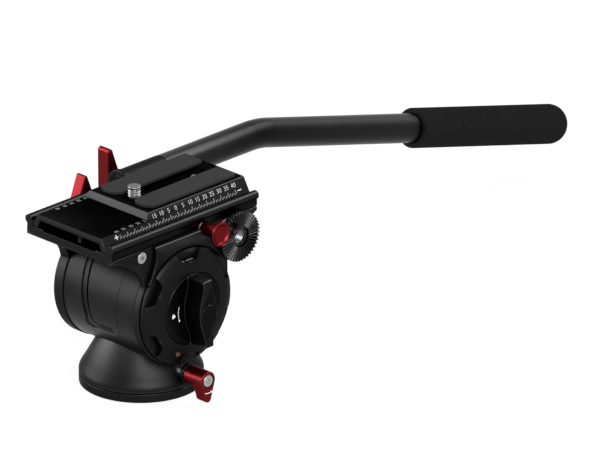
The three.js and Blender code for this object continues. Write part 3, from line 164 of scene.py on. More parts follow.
def prism(axis, outline, low, high, centre=(0.0, 0.0), edge=0.0, steps=3, taper=None):
    # an outline carried along an axis; its rim at either end is a quarter round of the given edge
    outline = tidyOutline(outline)
    share = np.ones(len(outline)) if taper is None else taper(outline)
    bend = np.linspace(0, np.pi / 2, steps + 1) if edge > 0 else np.array([np.pi / 2])
    inset, rise = edge * (1 - np.sin(bend)), edge * (1 - np.cos(bend))
    insets = np.concatenate([inset, inset[::-1]])
    along = np.concatenate([low + rise, high - rise[::-1]])
    loops = np.stack([inwards(outline, (amount * share)[:, None]) for amount in insets])
    points = toAxis(axis, loops[..., 0], loops[..., 1], along[:, None], centre)
    count = len(outline)
    return points, quads(len(insets), count) + [list(range(count)), list(range(len(points) - count, len(points)))]


def block(low, high, edge=0.0):
    # a box between two corners
    outline = [(low[0], low[1]), (high[0], low[1]), (high[0], high[1]), (low[0], high[1])]
    return prism("z", outline, low[2], high[2], edge=edge)


def hexSocket(axis, radius, low, high, centre, start=0):
    # the room of a six-sided key
    return prism(axis, arc((0, 0), radius, start, start + 300, 5), low, high, centre)


def mirrored(shape):
    # x becomes -x
    return shape[0] * np.array([-1.0, 1.0, 1.0]), shape[1]


def combined(shapes):
    # several shapes as one
    points, faces, count = [], [], 0
    for shapePoints, shapeFaces in shapes:
        points.append(shapePoints)
        faces += [[corner + count for corner in face] for face in shapeFaces]
        count += len(shapePoints)
    return np.concatenate(points), faces


def turnedOutline(outline, degrees):
    # (a cos t - b sin t, a sin t + b cos t)
    t = np.radians(degrees)
    return np.asarray(outline, float) @ np.array([[np.cos(t), np.sin(t)], [-np.sin(t), np.cos(t)]])


def bothSides(half):
    # an outline of one side goes on with its mirror image, back to the start
    return np.concatenate([half, (half * other)[::-1]])


def thread(core, pitch, depth, low, high, fade, sign=-1):
    # rows at the core radius move by a triangle wave of along / pitch + turn, which fades out at both ends
    def ripple(radius, along, turn):
        wave = np.abs(2 * np.mod(along / pitch + turn / (2 * np.pi), 1) - 1)
        strength = np.clip(np.minimum(along - low, high - along) / fade, 0, 1)
        cut = radius + sign * depth * wave * strength
        return np.where(np.abs(radius - core) < 0.01, cut, radius), along

    return ripple


def fromAxis(place):
    # y and z of a place that is given from the tilt axis
    return place[0], axisZ + place[1]


# Pieces.


def meshOf(name, shape):
    # doubled points are joined, and the faces turn outwards
    mesh = bpy.data.meshes.new(name)
    mesh.from_pydata(np.asarray(shape[0]) * mm, [], shape[1])
    work = bmesh.new()
    work.from_mesh(mesh)
    bmesh.ops.remove_doubles(work, verts=work.verts, dist=1e-6)
    bmesh.ops.dissolve_degenerate(work, edges=work.edges, dist=1e-7)
    bmesh.ops.recalc_face_normals(work, faces=work.faces)
    work.to_mesh(mesh)
    work.free()
    return mesh


def newObject(name, data):
    # an object in the scene
    made = bpy.data.objects.new(name, data)
    bpy.context.scene.collection.objects.link(made)
    return made


def settledMesh(piece):
    # the mesh that the piece's modifiers make
    bpy.context.view_layer.update()
    return bpy.data.meshes.new_from_object(piece.evaluated_get(bpy.context.evaluated_depsgraph_get()))


def settle(piece):
    # the piece's modifiers become its mesh
    shaped, old = settledMesh(piece), piece.data
    piece.modifiers.clear()
    piece.data = shaped
    bpy.data.meshes.remove(old)


def carve(piece, operation, shapes):
    # shapes are joined to a piece or cut from it
    tools = [newObject("tool", meshOf("tool", shape)) for shape in shapes]
    for tool in tools:
        change = piece.modifiers.new("change", "BOOLEAN")
        change.operation, change.solver, change.object = operation, "EXACT", tool
    settle(piece)
    for tool in tools:
        mesh = tool.data
        bpy.data.objects.remove(tool)
        bpy.data.meshes.remove(mesh)


def addPiece(name, body, finish, shape, nodes=(), adds=(), cuts=(), bevel=0.0, sharp=35, flip=False):
    # a piece with its joined and cut shapes, finish, body and replaced nodes; flip takes all of it to -x
    if flip:
        shape, adds, cuts = mirrored(shape), [mirrored(add) for add in adds], [mirrored(cut) for cut in cuts]
    piece = newObject(name, meshOf(name, shape))
    if adds:
        carve(piece, "UNION", adds)
    if cuts:
        carve(piece, "DIFFERENCE", cuts)
    if bevel > 0:
        rounding = piece.modifiers.new("rounding", "BEVEL")
        rounding.width, rounding.segments = bevel * mm, 2
        rounding.limit_method, rounding.angle_limit = "ANGLE", np.radians(40)
    piece.data.materials.clear()
    piece.data.materials.append(finish.material)
    settle(piece)
    mesh = piece.data
    mesh.polygons.foreach_set("use_smooth", np.ones(len(mesh.polygons), bool))
    mesh.set_sharp_from_angle(angle=np.radians(sharp))
    piece.modifiers.new("flats", "WEIGHTED_NORMAL").keep_sharp = True
    settle(piece)
    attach(piece, body)
    if nodes:
        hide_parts(*nodes)
    return piece


# Finishes.


class Signal:
    # a value in a material that Python's own operators turn into Math nodes
    def __init__(self, finish, socket):
        self.finish, self.socket = finish, socket

    def calc(self, operation, second):
        return self.finish.signal("ShaderNodeMath", {"operation": operation}, {0: self, 1: second})

    def __add__(self, second):
        return self.calc("ADD", second)

    def __mul__(self, second):
        return self.calc("MULTIPLY", second)


class Finish:
    # a material with one principled shader
    def __init__(self, name):
        self.material = bpy.data.materials.new(name)
        self.material.use_nodes = True
        self.tree = self.material.node_tree
        self.tree.nodes.clear()
        self.shader = self.node("ShaderNodeBsdfPrincipled")
        output = self.node("ShaderNodeOutputMaterial")
        self.tree.links.new(self.shader.outputs[0], output.inputs["Surface"])
        self.place = self.node("ShaderNodeTexCoord").outputs["Object"]

    def node(self, kind, settings=None, inputs=None):
        # a new node with its settings and inputs
        made = self.tree.nodes.new(kind)
        for key, value in (settings or {}).items():
            setattr(made, key, value)
        for key, value in (inputs or {}).items():
            self.feed(made.inputs[key], value)
        return made

    def feed(self, socket, value):
        # a signal or another node's output is linked, and a plain value is set
        if isinstance(value, Signal):
            value = value.socket
        if isinstance(value, bpy.types.NodeSocket):
            self.tree.links.new(value, socket)
        else:
            socket.default_value = value

    def signal(self, kind, settings=None, inputs=None, output=0):
        # one output of a new node
        return Signal(self, self.node(kind, settings, inputs).outputs[output])

    def noise(self, scale, detail):
        # a cloudy value round 0.5, in the object's own coordinates
        values = {"Vector": self.place, "Scale": scale, "Detail": detail}
        return self.signal("ShaderNodeTexNoise", None, values)

    def ramp(self, value, low, high):
        # (value - low) / (high - low), kept between 0 and 1
        inputs = {"Value": value, "From Min": low, "From Max": high}
        return self.signal("ShaderNodeMapRange", {"clamp": True}, inputs)

    def mixColour(self, share, first, second):
        # first * (1 - share) + second * share
        inputs = {"Factor": share, 6: first, 7: second}
        return self.node("ShaderNodeMix", {"data_type": "RGBA"}, inputs).outputs[2]

    def edges(self, low, high):
        # 0 on flat places and 1 on sharp edges
        pointiness = self.node("ShaderNodeNewGeometry").outputs["Pointiness"]
        return self.ramp(Signal(self, pointiness), low, high)

    def shade(self, values):
        # inputs of the shader
        for key, value in values.items():
            self.feed(self.shader.inputs[key], value)

    def bump(self, height, depth):
        # the surface's normal leans with a height of the given depth
        inputs = {"Height": height, "Distance": depth * mm, "Strength": 1.0}
        self.shade({"Normal": self.node("ShaderNodeBump", None, inputs).outputs["Normal"]})


def grey(level):
    # a colour without hue
    return (level, level, level, 1.0)


def satinFinish(name, dark, light, roughness, **changes):
    # clouds shift tone and gloss, fine grain lifts the surface, edges are painted lighter as rubbed wear and as painted
    # highlights, and faces that look along y can be painted lighter as painted light
    look = {
        "bare": grey(0.11), "rub": 0.5, "rubbedFrom": 0.515, "rubbedTo": 0.585, "glossSpread": 0.06,
        "grainGloss": 0.06, "metallic": 1.0, "specular": 0.5, "rimShine": 0.46, "cloudScale": 45.0,
        "grainScale": 3200.0, "grainDepth": 0.012, **changes,
    }
    finish = Finish(name)
    cloud = finish.noise(look["cloudScale"], 3)
    grain = finish.noise(look["grainScale"], 3)
    tone = finish.mixColour(finish.ramp(cloud, 0.3, 0.7), dark, light)
    if "sawn" in look:
        # painted light: faces that look along y, such as the ends of the bed and plate, are painted lighter than the
        # rest
        facing = finish.node("ShaderNodeTexCoord").outputs["Normal"]
        along = finish.signal("ShaderNodeSeparateXYZ", None, {"Vector": facing}, 1)
        tone = finish.mixColour(finish.ramp(along * along, 0.8, 0.97), tone, look["sawn"])
    # edges are painted lighter: partly rubbed wear, partly painted highlight lines along the edges
    rubbed = finish.edges(look["rubbedFrom"], look["rubbedTo"]) * look["rub"] * finish.ramp(grain, 0.2, 0.8)
    gloss = finish.ramp(cloud, 0.2, 0.8) * look["glossSpread"]
    finish.shade({
        "Base Color": finish.mixColour(rubbed, tone, look["bare"]),
        "Roughness": gloss + (grain * look["grainGloss"] + roughness),
        "Metallic": look["metallic"],
        "Specular IOR Level": look["specular"],
        "Specular Tint": grey(look["rimShine"]),
    })
    finish.bump(grain, look["grainDepth"])
    return finish


# the edge colours given below paint the edges lighter, as rubbed wear and as painted edge highlights
blackMetal = satinFinish("black_anodised", grey(0.0112), grey(0.0130), 0.36, rimShine=0.55)
drumMetal = satinFinish("drum_black", grey(0.0112), grey(0.0130), 0.36, rimShine=1.0)
# this finish paints the faces that look along y lighter: painted light on the ends of the bed and plate
plateMetal = satinFinish("plate_black", grey(0.0088), grey(0.0104), 0.26, rimShine=0.36, sawn=grey(0.019))
toothMetal = satinFinish("tooth_black", grey(0.017), grey(0.022), 0.27, rimShine=0.6, rub=0.8, bare=grey(0.09))
blackPlastic = satinFinish("black_plastic", grey(0.0070), grey(0.0085), 0.33, grainScale=2200.0, rub=0.9,
                           bare=grey(0.13))
barMetal = satinFinish("bar_black", grey(0.0066), grey(0.0080), 0.31, rimShine=0.9, grainDepth=0.02)
redMetal = satinFinish("red_anodised", (0.104, 0.0090, 0.0105, 1), (0.122, 0.0105, 0.0122, 1), 0.30,
                       bare=(0.42, 0.05, 0.05, 1), rub=0.35)
steel = satinFinish("bright_steel", grey(0.31), grey(0.37), 0.30, bare=grey(0.5), rimShine=0.9, grainDepth=0.006)
threadSteel = satinFinish("thread_steel", grey(0.15), grey(0.20), 0.34, bare=grey(0.3), rimShine=0.6,
                          grainDepth=0.006)
innerSteel = satinFinish("inner_steel", grey(0.32), grey(0.42), 0.36, bare=grey(0.6), rimShine=1.0)
bronze = satinFinish("bearing_bronze", (0.38, 0.26, 0.11, 1), (0.46, 0.32, 0.15, 1), 0.34,
                     bare=(0.6, 0.45, 0.25, 1), rimShine=1.0)


def rubberFinish(name, look):
    # speckled rubber: a fine grain darkens the pits and raises the skin between them
    dustShare, pitGloss = 0.35, -0.08
    finish = Finish(name)
    speckle = finish.noise(look["speckleScale"], 2)
    cloud = finish.noise(look["cloudScale"], 2)
    pits = finish.ramp(speckle, 0.35, 0.65)
    tone = finish.mixColour(pits, look["dark"], look["light"])
    finish.shade({
        "Base Color": finish.mixColour(finish.ramp(cloud, 0.3, 0.8) * dustShare, tone, look["dust"]),
        "Roughness": pits * pitGloss + look["roughness"],
        "Specular IOR Level": look["specular"],
    })
    finish.bump(speckle, look["depth"])
    return finish


rubber = rubberFinish("pad_rubber", {
    "dark": grey(0.010), "light": grey(0.015), "dust": grey(0.017), "roughness": 0.85, "specular": 0.12,
    "speckleScale": 2400.0, "cloudScale": 90.0, "depth": 0.05,
})
foam = rubberFinish("grip_foam", {
    "dark": grey(0.0042), "light": grey(0.0110), "dust": grey(0.011), "roughness": 1.0, "specular": 0.02,
    "speckleScale": 1500.0, "cloudScale": 70.0, "depth": 0.22,
})


def paintFinish(name, thin, full, roughness=0.5, patchScale=1800.0, patchGloss=0.15, depth=0.01):
    # patches of thin and full paint
    finish = Finish(name)
    patch = finish.noise(patchScale, 3)
    finish.shade({
        "Base Color": finish.mixColour(finish.ramp(patch, 0.3, 0.7), thin, full),
        "Roughness": patch * patchGloss + roughness,
    })
    finish.bump(patch, depth)
    return finish


whitePaint = paintFinish("white_print", grey(0.50), grey(0.68))
greyPaint = paintFinish("number_print", grey(0.28), grey(0.38))
faintPaint = paintFinish("grey_print", grey(0.15), grey(0.22))
redPaint = paintFinish("red_print", (0.035, 0.0025, 0.003, 1), (0.055, 0.0035, 0.0045, 1), 0.4, 1500.0)

slotFinish = {
    "black_metal": blackMetal, "red_metal": redMetal, "steel": innerSteel, "brass": bronze, "rubber": rubber,
    "plastic": blackPlastic, "foam": foam,
}
for entry in frame["record"]["subparts"]:
    node = frame["nodes"][entry["node"]]
    node.data.materials.clear()
    node.data.materials.append(slotFinish[entry["material_slot"]].material)
print("finishes made")

# Base: foot plate, its screws and the tripod's bush.

base = {
    "radius": 30.0, "thickness": 4.3, "edge": 0.45, "screwCircle": 11.6, "holeRadius": 1.3, "sinkRadius": 2.6,
    "sinkDepth": 2.1, "flangeRoom": 8.5, "flangeRoomDepth": 2.1, "boreRadius": 6.8, "headRadius": 2.35,
    "headLow": 0.35, "headHigh": 1.95, "shank": 1.1, "shankEnd": 6.6, "socketRadius": 1.25, "socketDepth": 1.0,
}
screwPlaces = arc((0, 0), base["screwCircle"], 0, 240, 2)
baseTop = base["thickness"] + 1
baseCuts = [
    rod("z", base["flangeRoom"], -1, base["flangeRoomDepth"], columns=96),
    rod("z", base["boreRadius"], 0.5, baseTop, columns=96),
]
for place in screwPlaces:
    baseCuts.append(rod("z", base["sinkRadius"], -1, base["sinkDepth"], place, 48))
    baseCuts.append(rod("z", base["holeRadius"], 0.5, baseTop, place, 32))
plateProfile = stepped([0, base["radius"], base["thickness"]], base["edge"])
addPiece("basePlateShell", "base", blackMetal, turned("z", plateProfile, columns=180),
         ["base_plate"], cuts=baseCuts)
screwProfile = stepped([base["headLow"], base["headRadius"], base["headHigh"], base["shank"], base["shankEnd"]],
                       [0, 0.35, 0.1, 0.1, 0.2, 0])
for number, place in enumerate(screwPlaces, 1):
    socket = hexSocket("z", base["socketRadius"], -1, base["headLow"] + base["socketDepth"], place)
    addPiece(f"baseScrew{number}", "base", steel, turned("z", screwProfile, place, 48), cuts=[socket])

bush = {
    "outer": 6.5, "flange": 8.2, "low": 0.2, "flangeTop": 1.8, "top": 11.5, "mouth": 4.95, "bore": 4.1,
    "socketTop": 10.2, "threadLow": 0.7, "threadHigh": 9.9, "pitch": 1.5875, "depth": 0.62, "fade": 0.5,
    "row": 0.14, "chamfer": 0.3, "rim": 0.2,
}
outer, top, flange, chamfer, rim = bush["outer"], bush["top"], bush["flange"], bush["chamfer"], bush["rim"]
bushProfile = np.concatenate([
    [(0, top), (outer - chamfer, top), (outer, top - chamfer), (outer, bush["flangeTop"])],
    [(flange, bush["flangeTop"]), (flange, bush["low"] + rim), (flange - rim, bush["low"])],
    [(bush["mouth"], bush["low"])],
    rowsAt(bush["bore"], np.arange(bush["threadLow"], bush["threadHigh"], bush["row"])),
    [(bush["bore"], bush["socketTop"]), (0, bush["socketTop"])],
])
bushThread = thread(bush["bore"], bush["pitch"], bush["depth"], bush["low"], bush["threadHigh"], bush["fade"], 1)
addPiece("tripodBush", "base", steel, turned("z", bushProfile, columns=72, ripple=bushThread),
         ["tripod_thread_bush"])
print("base made")

# Pan housing: cone, drum and the groove that wraps the drum.

cone = {
    "low": 4.6, "skirtTop": 6.0, "radius": 30.0, "edge": 0.4, "pull": 29.7, "pullHeight": 7.6, "shoulder": 27.3,
    "shoulderHeight": 11.6, "top": 19.0, "topHeight": 26.4, "well": 21.5, "wellTop": 9.4, "bearing": 13.6,
    "nutWell": 15.0, "nutWellLow": 18.0, "spindle": 2.7, "spindleZ": 12.5, "sealInner": 24.2, "sealOuter": 27.8,
    "sealTop": 5.9,
}
drum = {
    "radius": 29.5, "near": 25.1, "far": -22.6, "bore": 24.5, "edge": 0.5, "wall": 0.16,
    "ringLow": -10.2, "ringHigh": -5.4, "ringStart": 0.0, "legEnd": 9.1, "legWidth": 4.4, "legAngle": 204.8,
    "ringCorner": 2.4, "legCorner": 0.7, "blend": 2.2, "legBlend": 1.5, "seam": 13.3, "seamWidth": 0.22,
    "seamDepth": 0.25,
    "ringSteps": ([1.55, 1.7], [1.6, 0.6]),  # distances from the inner bend, and the depths there
    "legSteps": ([1.55, 1.7, 2.3, 2.4, 3.0, 3.1], [1.3, 0.5, 0.5, 1.0, 1.0, 0.45]),
    "lean": ([-60, -20, 138, 210, 240], [0.0, -3.0, -3.0, 2.4, 0.0]), "leanRoom": 6.0,  # angles, and moves along x
}


def roundedBox(x, s, lowX, highX, lowS, highS, corner):
    # signed distance to a box with round corners, negative inside
    dx = np.abs(x - (lowX + highX) / 2) - (highX - lowX) / 2 + corner
    ds = np.abs(s - (lowS + highS) / 2) - (highS - lowS) / 2 + corner
    outside = np.hypot(np.maximum(dx, 0), np.maximum(ds, 0))
    return outside + np.minimum(np.maximum(dx, ds), 0) - corner


def drumGroove(radius, along, turn):
    # on the drum's skin the radius drops by the groove's depth inside a ring band joined to a leg along the drum
    turn = np.broadcast_to(turn, radius.shape)
    s, leg, half = drum["radius"] * turn, drum["radius"] * np.radians(drum["legAngle"]), drum["legWidth"] / 2
    low, high = drum["ringLow"], drum["ringHigh"]
    ringStart = drum["radius"] * np.radians(drum["ringStart"])
    band = roundedBox(along, s, low, high, ringStart, leg + half, drum["ringCorner"])
    foot = roundedBox(along, s, low, drum["legEnd"], leg - half, leg + half, drum["legCorner"])
    share = np.clip(0.5 + 0.5 * (foot - band) / drum["blend"], 0, 1)
    inside = drum["blend"] * share * (1 - share) - foot * (1 - share) - band * share
    # the depth goes in steps with the distance from the inner bend of the groove, and the leg has a rib more
    fromBend = np.hypot(np.maximum(high - along, 0), np.maximum(s - leg + half, 0))
    onLeg = np.clip((along - high) / drum["legBlend"], 0, 1)
    depth = np.interp(fromBend, *drum["ringSteps"]) * (1 - onLeg) + np.interp(fromBend, *drum["legSteps"]) * onLeg
    depth = depth * np.clip(inside / drum["wall"], 0, 1)
    seam = drum["seamDepth"] * np.clip(1.6 - np.abs(along - drum["seam"]) / (drum["seamWidth"] / 2), 0, 1)
    # the ring leans: x moves by a share of the angle, and the move dies out towards both ends of the drum
    room = [drum["far"], drum["far"] + drum["leanRoom"], high, drum["legEnd"] + 0.5]
    shift = np.interp(np.degrees(turn), *drum["lean"]) * np.interp(along, room, [0, 1, 1, 0])
    skin = radius > drum["radius"] - 0.01
    return np.where(skin, radius - depth - seam, radius), np.where(skin, along + shift, along)


def closeTo(places, spread, count):
    # evenly spread rows from place - spread to place + spread
    return np.concatenate([np.linspace(place - spread, place + spread, count) for place in places])


# the mesh is finest where the groove has its walls
legTurn = drum["legAngle"]
drumPlaces = np.unique(np.round(np.concatenate([
    np.linspace(drum["far"] + drum["edge"], drum["near"] - drum["edge"], 40),
    closeTo([drum["ringLow"] + 0.3, drum["ringHigh"] - 0.3, drum["legEnd"] - 0.3], 0.5, 13),
    closeTo([drum["seam"]], 0.3, 9),
    closeTo([drum["ringHigh"] - 1.62], 0.15, 7),
    np.linspace(drum["ringLow"], drum["ringHigh"] + 2.4, 46),
]), 3))
drumTurns = np.radians(np.unique(np.round(np.concatenate([
    np.linspace(-60, 298.5, 240),
    np.linspace(legTurn - 5.4, legTurn + 5.4, 90),
    np.linspace(legTurn - 10, legTurn - 5.4, 14),
    closeTo([drum["ringStart"]], 4, 16),
]), 3)))
drumProfile = np.concatenate([
    softened([(drum["bore"], drum["far"]), (drum["radius"], drum["far"]), (drum["radius"], drum["far"] + 1)],
             [0, drum["edge"], 0])[:-1],
    rowsAt(drum["radius"], drumPlaces),
    softened([(drum["radius"], drum["near"] - 1), (drum["radius"], drum["near"]), (drum["bore"], drum["near"])],
             [0, drum["edge"], 0])[1:],
])
coneProfile = np.concatenate([
    [(0, cone["low"]), (cone["radius"] - cone["edge"], cone["low"]), (cone["radius"], cone["low"] + cone["edge"])],
    bezier((cone["radius"], cone["skirtTop"]), (cone["radius"] - 0.05, cone["pullHeight"] - 0.2),
           (cone["pull"] - 0.35, cone["pullHeight"] + 0.9), (cone["shoulder"], cone["shoulderHeight"])),
    [(cone["top"], cone["topHeight"]), (0, cone["topHeight"])],
])
coneCuts = [
    rod("x", drum["bore"], drum["far"] - 5, drum["near"] + 5, axle, 120),
    rod("z", cone["well"], 0, cone["wellTop"], columns=96),
    rod("z", cone["bearing"], 5, cone["nutWellLow"] + 1, columns=96),
    rod("z", cone["nutWell"], cone["nutWellLow"], 30, columns=96),
    rod("x", cone["spindle"], 5, 40, (0, cone["spindleZ"]), 48),
    ring("z", cone["sealInner"], cone["sealOuter"], 0, cone["sealTop"]),
]
addPiece("panHousingCone", "pan", blackMetal, turned("z", coneProfile, columns=160),
         ["pan_housing"], cuts=coneCuts)
addPiece("panHousingDrum", "pan", drumMetal,
         turned("x", drumProfile, axle, drumTurns, drumGroove))
print("pan housing made")

# Cheeks, with what sits in them. Places are y and z from the tilt axis.

cheek = {
    "nearInner": 25.4, "nearOuter": 29.0, "farInner": 22.9, "farOuter": 28.84, "radius": 30.0, "top": 35.8,
    "waist": 148.0, "tip": (-45.3, 33.8), "flare": (-33.3, 28.9), "neck": (-26.5, 23.9), "boss": (33.9, 26.3),
    "bossRadius": 12.5, "rearTip": 49.9, "bedBottom": 33.9, "corner": 2.6, "edge": 0.45, "axleRoom": 6.6,
    "insertRoom": 4.6, "panelFace": 31.2, "panelTop": 20.0, "panelNeck": (17.5, 29.0), "panelFlare": (21.5, 23.0),
    "panelFoot": 26.3, "panelSunk": 1.8, "dialRoom": 29.6, "footWidth": 0.55, "panelEdge": 0.95,
    "taperStart": 1.5, "taperLength": 10.0, "taperLeast": 0.1,
}
cheekScrew = {
    "head": 2.9, "headHeight": 1.6, "shank": 1.6, "length": 9.0, "front": (-26.8, 31.9), "rear": (28.2, 32.3),
    "socket": 1.15, "socketDepth": 1.1, "rim": 0.3,
}
button = {
    "place": (14.3, 35.3), "disc": 6.0, "face": 41.0, "rim": 1.25, "dish": 1.1, "flare": 3.4, "stem": 3.2,
    "stemStart": 29.0, "rod": 1.0, "rodEnd": 10.3, "room": 3.5, "pocketFloor": 22.4,
}
plateLock = {
    "place": (-3.1, 35.3), "hub": 5.5, "inner": 33.4, "outer": 39.5, "arm": 12.45, "tip": 1.05, "spindle": 1.3,
    "spindleEnd": 24.5, "collar": 2.6, "bedOuter": 30.0, "edge": 0.55,
}
sides = (
    ("near", cheek["nearInner"], cheek["nearOuter"], False),
    ("far", cheek["farInner"], cheek["farOuter"], True),
)
screwCentres = {"front": fromAxis(cheekScrew["front"]), "rear": fromAxis(cheekScrew["rear"])}
buttonCentre, lockCentre = fromAxis(button["place"]), fromAxis(plateLock["place"])
buttonRoom = rod("x", button["room"], button["pocketFloor"], 40, buttonCentre)
lockRoom = plateLock["spindle"] + gap


def cheekOutline():
    # from the front tip down the flare, round under the drum, round the rosette's boss and up to the rear tip
    radius, boss, bossRadius = cheek["radius"], cheek["boss"], cheek["bossRadius"]
    rear, bottom, corner = cheek["rearTip"], cheek["bedBottom"], cheek["corner"]
    waist = np.radians(cheek["waist"])
    bossStart = -90 - np.degrees(np.arcsin((boss[0] - radius) / bossRadius))
    bossEnd = np.degrees(np.arcsin((bottom - corner - boss[1]) / bossRadius))
    return np.concatenate([
        [(cheek["tip"][0], cheek["top"])],
        bezier(cheek["tip"], cheek["flare"], cheek["neck"], (radius * np.cos(waist), radius * np.sin(waist)), 24),
        arc((0, 0), radius, cheek["waist"], 360, 90),
        arc(boss, bossRadius, bossStart, bossEnd, 48),
        [(rear - corner, bottom - corner / 2), (rear, bottom), (rear, cheek["top"])],
    ])


def panelOutline():
    # both feet end where the panel is still half a millimetre wide beside the dial
    foot = np.radians(cheek["panelFoot"])
    tip = (cheek["radius"] * np.cos(foot), cheek["radius"] * np.sin(foot))
    right = bezier(tip, cheek["panelFlare"], cheek["panelNeck"], (cheek["panelTop"], cheek["top"]), 24)
    right = right[np.hypot(right[:, 0], right[:, 1]) > cheek["dialRoom"] + cheek["footWidth"]]
    start = np.degrees(np.arctan2(right[0, 1], right[0, 0]))
    return np.concatenate([bothSides(right), arc((0, 0), cheek["dialRoom"], 180 - start, start, 60)])


def panelTaper(outline):
    # the rim thins out towards the two feet: (height over the foot - start) / length, from the least share to 1
    start = cheek["radius"] * np.sin(np.radians(cheek["panelFoot"])) + cheek["taperStart"]
    return np.clip((outline[:, 1] - start) / cheek["taperLength"], cheek["taperLeast"], 1)


def cheekCuts(inner, outer):
    # rooms for the axle, the rosette's insert and the two screws
    cuts = [
        rod("x", cheek["axleRoom"], inner - 1, outer + 1, axle),
        rod("x", cheek["insertRoom"], inner - 1, outer + 1, fromAxis(cheek["boss"])),
    ]
    for centre in screwCentres.values():
        cuts.append(rod("x", cheekScrew["head"] + gap, outer - cheekScrew["headHeight"] - gap, outer + 4, centre))
        cuts.append(rod("x", cheekScrew["shank"] + gap, inner - 1, outer, centre, 32))
    return cuts


panelShape = prism("x", panelOutline(), cheek["nearOuter"] - cheek["panelSunk"], cheek["panelFace"], axle,
                   cheek["panelEdge"], 5, panelTaper)
extras = {"near": ([panelShape], [buttonRoom], []), "far": ([], [], [rod("x", lockRoom, 20, 32, lockCentre, 32)])}
for side, inner, outer, flip in sides:
    adds, first, last = extras[side]
    addPiece(f"{side}CheekShell", "tilt", blackMetal,
             prism("x", cheekOutline(), inner, outer, axle, cheek["edge"]), [f"{side}_cheek"], adds=adds,
             cuts=first + cheekCuts(inner, outer) + last, flip=flip)

for side, _, outer, flip in sides:
    profile = stepped([outer - cheekScrew["length"], cheekScrew["shank"], outer - cheekScrew["headHeight"],
                       cheekScrew["head"], outer], [0, 0.3, 0.1, 0.1, cheekScrew["rim"], 0])
    for end, centre in screwCentres.items():
        socket = hexSocket("x", cheekScrew["socket"], outer - cheekScrew["socketDepth"], outer + 1, centre, 10)
        addPiece(f"{side}CheekScrew{end.title()}", "tilt", steel, turned("x", profile, centre, 56),
                 [f"cheek_screw_{side}_{end}"], cuts=[socket], flip=flip)

cap = {"radius": 14.0, "start": 29.14, "thickness": 1.86, "edge": 0.6, "groove": 10.5, "grooveDepth": 0.4}
capEnd = cap["start"] + cap["thickness"]
grooveFloor = capEnd - cap["grooveDepth"]
capProfile = softened(
    [(0, cap["start"]), (cap["radius"], cap["start"]), (cap["radius"], capEnd), (cap["groove"] + 0.5, capEnd),
     (cap["groove"] + 0.3, grooveFloor), (cap["groove"] - 0.3, grooveFloor), (cap["groove"] - 0.5, capEnd),
     (0, capEnd)],
    [0, 0.2, cap["edge"], 0.1, 0.1, 0.1, 0.1, 0],
)
addPiece("axleCapShell", "tilt", blackPlastic, turned("x", capProfile, axle), ["axle_cap"],
         flip=True)
print("cheeks made")

# Clamp bed. Heights of the bed, plate, latch and jaw are over the tilt axis.

bed = {
    "front": -47.2, "rear": 50.2, "lip": 1.6, "bottom": 33.9, "floor": 38.7, "half": 28.7, "recessHalf": 17.8,
    "recessDepth": 0.75, "bead": 2.2, "beadHeight": 41.6, "beadOuter": 30.0, "nearCore": 25.1, "farCore": 22.6,
    "railLow": 36.1, "lugInner": 15.0, "lugHalf": 3.4, "lugDepth": 5.9, "lugEdge": 0.3, "edge": 0.22, "corner": 0.5,
}
plate = {
    "front": -46.9, "rear": 50.0, "raisedFront": -14.0, "ramp": 2.3, "rampLow": 46.2, "floor": 39.0, "top": 48.8,
    "platform": 45.7, "topHalf": 19.8, "lean": np.tan(np.radians(30)), "footTop": 40.0, "web": 42.7, "leg": 3.2,
    "slotHalf": 3.5, "slotFront": -7.5, "slotRear": 41.5, "ledge": 0.9, "ledgeDepth": 1.6, "stop": 1.4,
    "stopX": 5.5, "stopPlaces": (-44.7, 47.8), "edge": 0.2, "corner": 0.45,
}
latch = {"aside": 5.5, "half": 1.6, "pin": 1.5, "pinPlace": 1.0, "armHigh": 36.5}
jaw = {"front": -18.1, "rear": 11.9, "depth": 1.6, "travel": 0.6, "foot": 37.6, "top": 41.3}
bedBottom, recessFloor = axisZ + bed["bottom"], bed["floor"] - bed["recessDepth"]


def flankAt(height):
    # half the plate's width: top half + (top - height) * lean
    return plate["topHalf"] + (plate["top"] - height) * plate["lean"]


def bedHalf(core):
    # one side of the bed's section, from its core round the bead to the recess in its floor
    bead, half, rail = bed["bead"], bed["half"], bed["railLow"]
    centre = bed["beadOuter"] - bead
    drop = np.degrees(np.arccos((half - centre) / bead))
    inner = flankAt(plate["footTop"]) + gap
    return np.concatenate([
        softened([(core - 2, bed["bottom"]), (core, bed["bottom"]), (core, rail), (half, rail), (half, rail + 2)],
                 [0, bed["corner"], 0, bed["corner"], 0])[1:-1],
        arc((centre, bed["beadHeight"]), bead, -drop, 180, 22),
        [(flankAt(bed["beadHeight"]) + gap, bed["beadHeight"]), (inner, plate["footTop"]), (inner, bed["floor"]),
         (bed["recessHalf"], bed["floor"]), (bed["recessHalf"], recessFloor)],
    ])


def lugs(core):
    # a block under the bed for each screw
    return [block((bed["lugInner"], y - bed["lugHalf"], bedBottom - bed["lugDepth"]),
                  (core, y + bed["lugHalf"], bedBottom + 1), bed["lugEdge"]) for y, _ in screwCentres.values()]


def lugHoles(inner, outer):
    # room for the screws' shanks, which start at the cheek's outer face
    tip = outer - cheekScrew["length"] - gap
    return [rod("x", cheekScrew["shank"] + gap, tip, inner, centre, 32) for centre in screwCentres.values()]


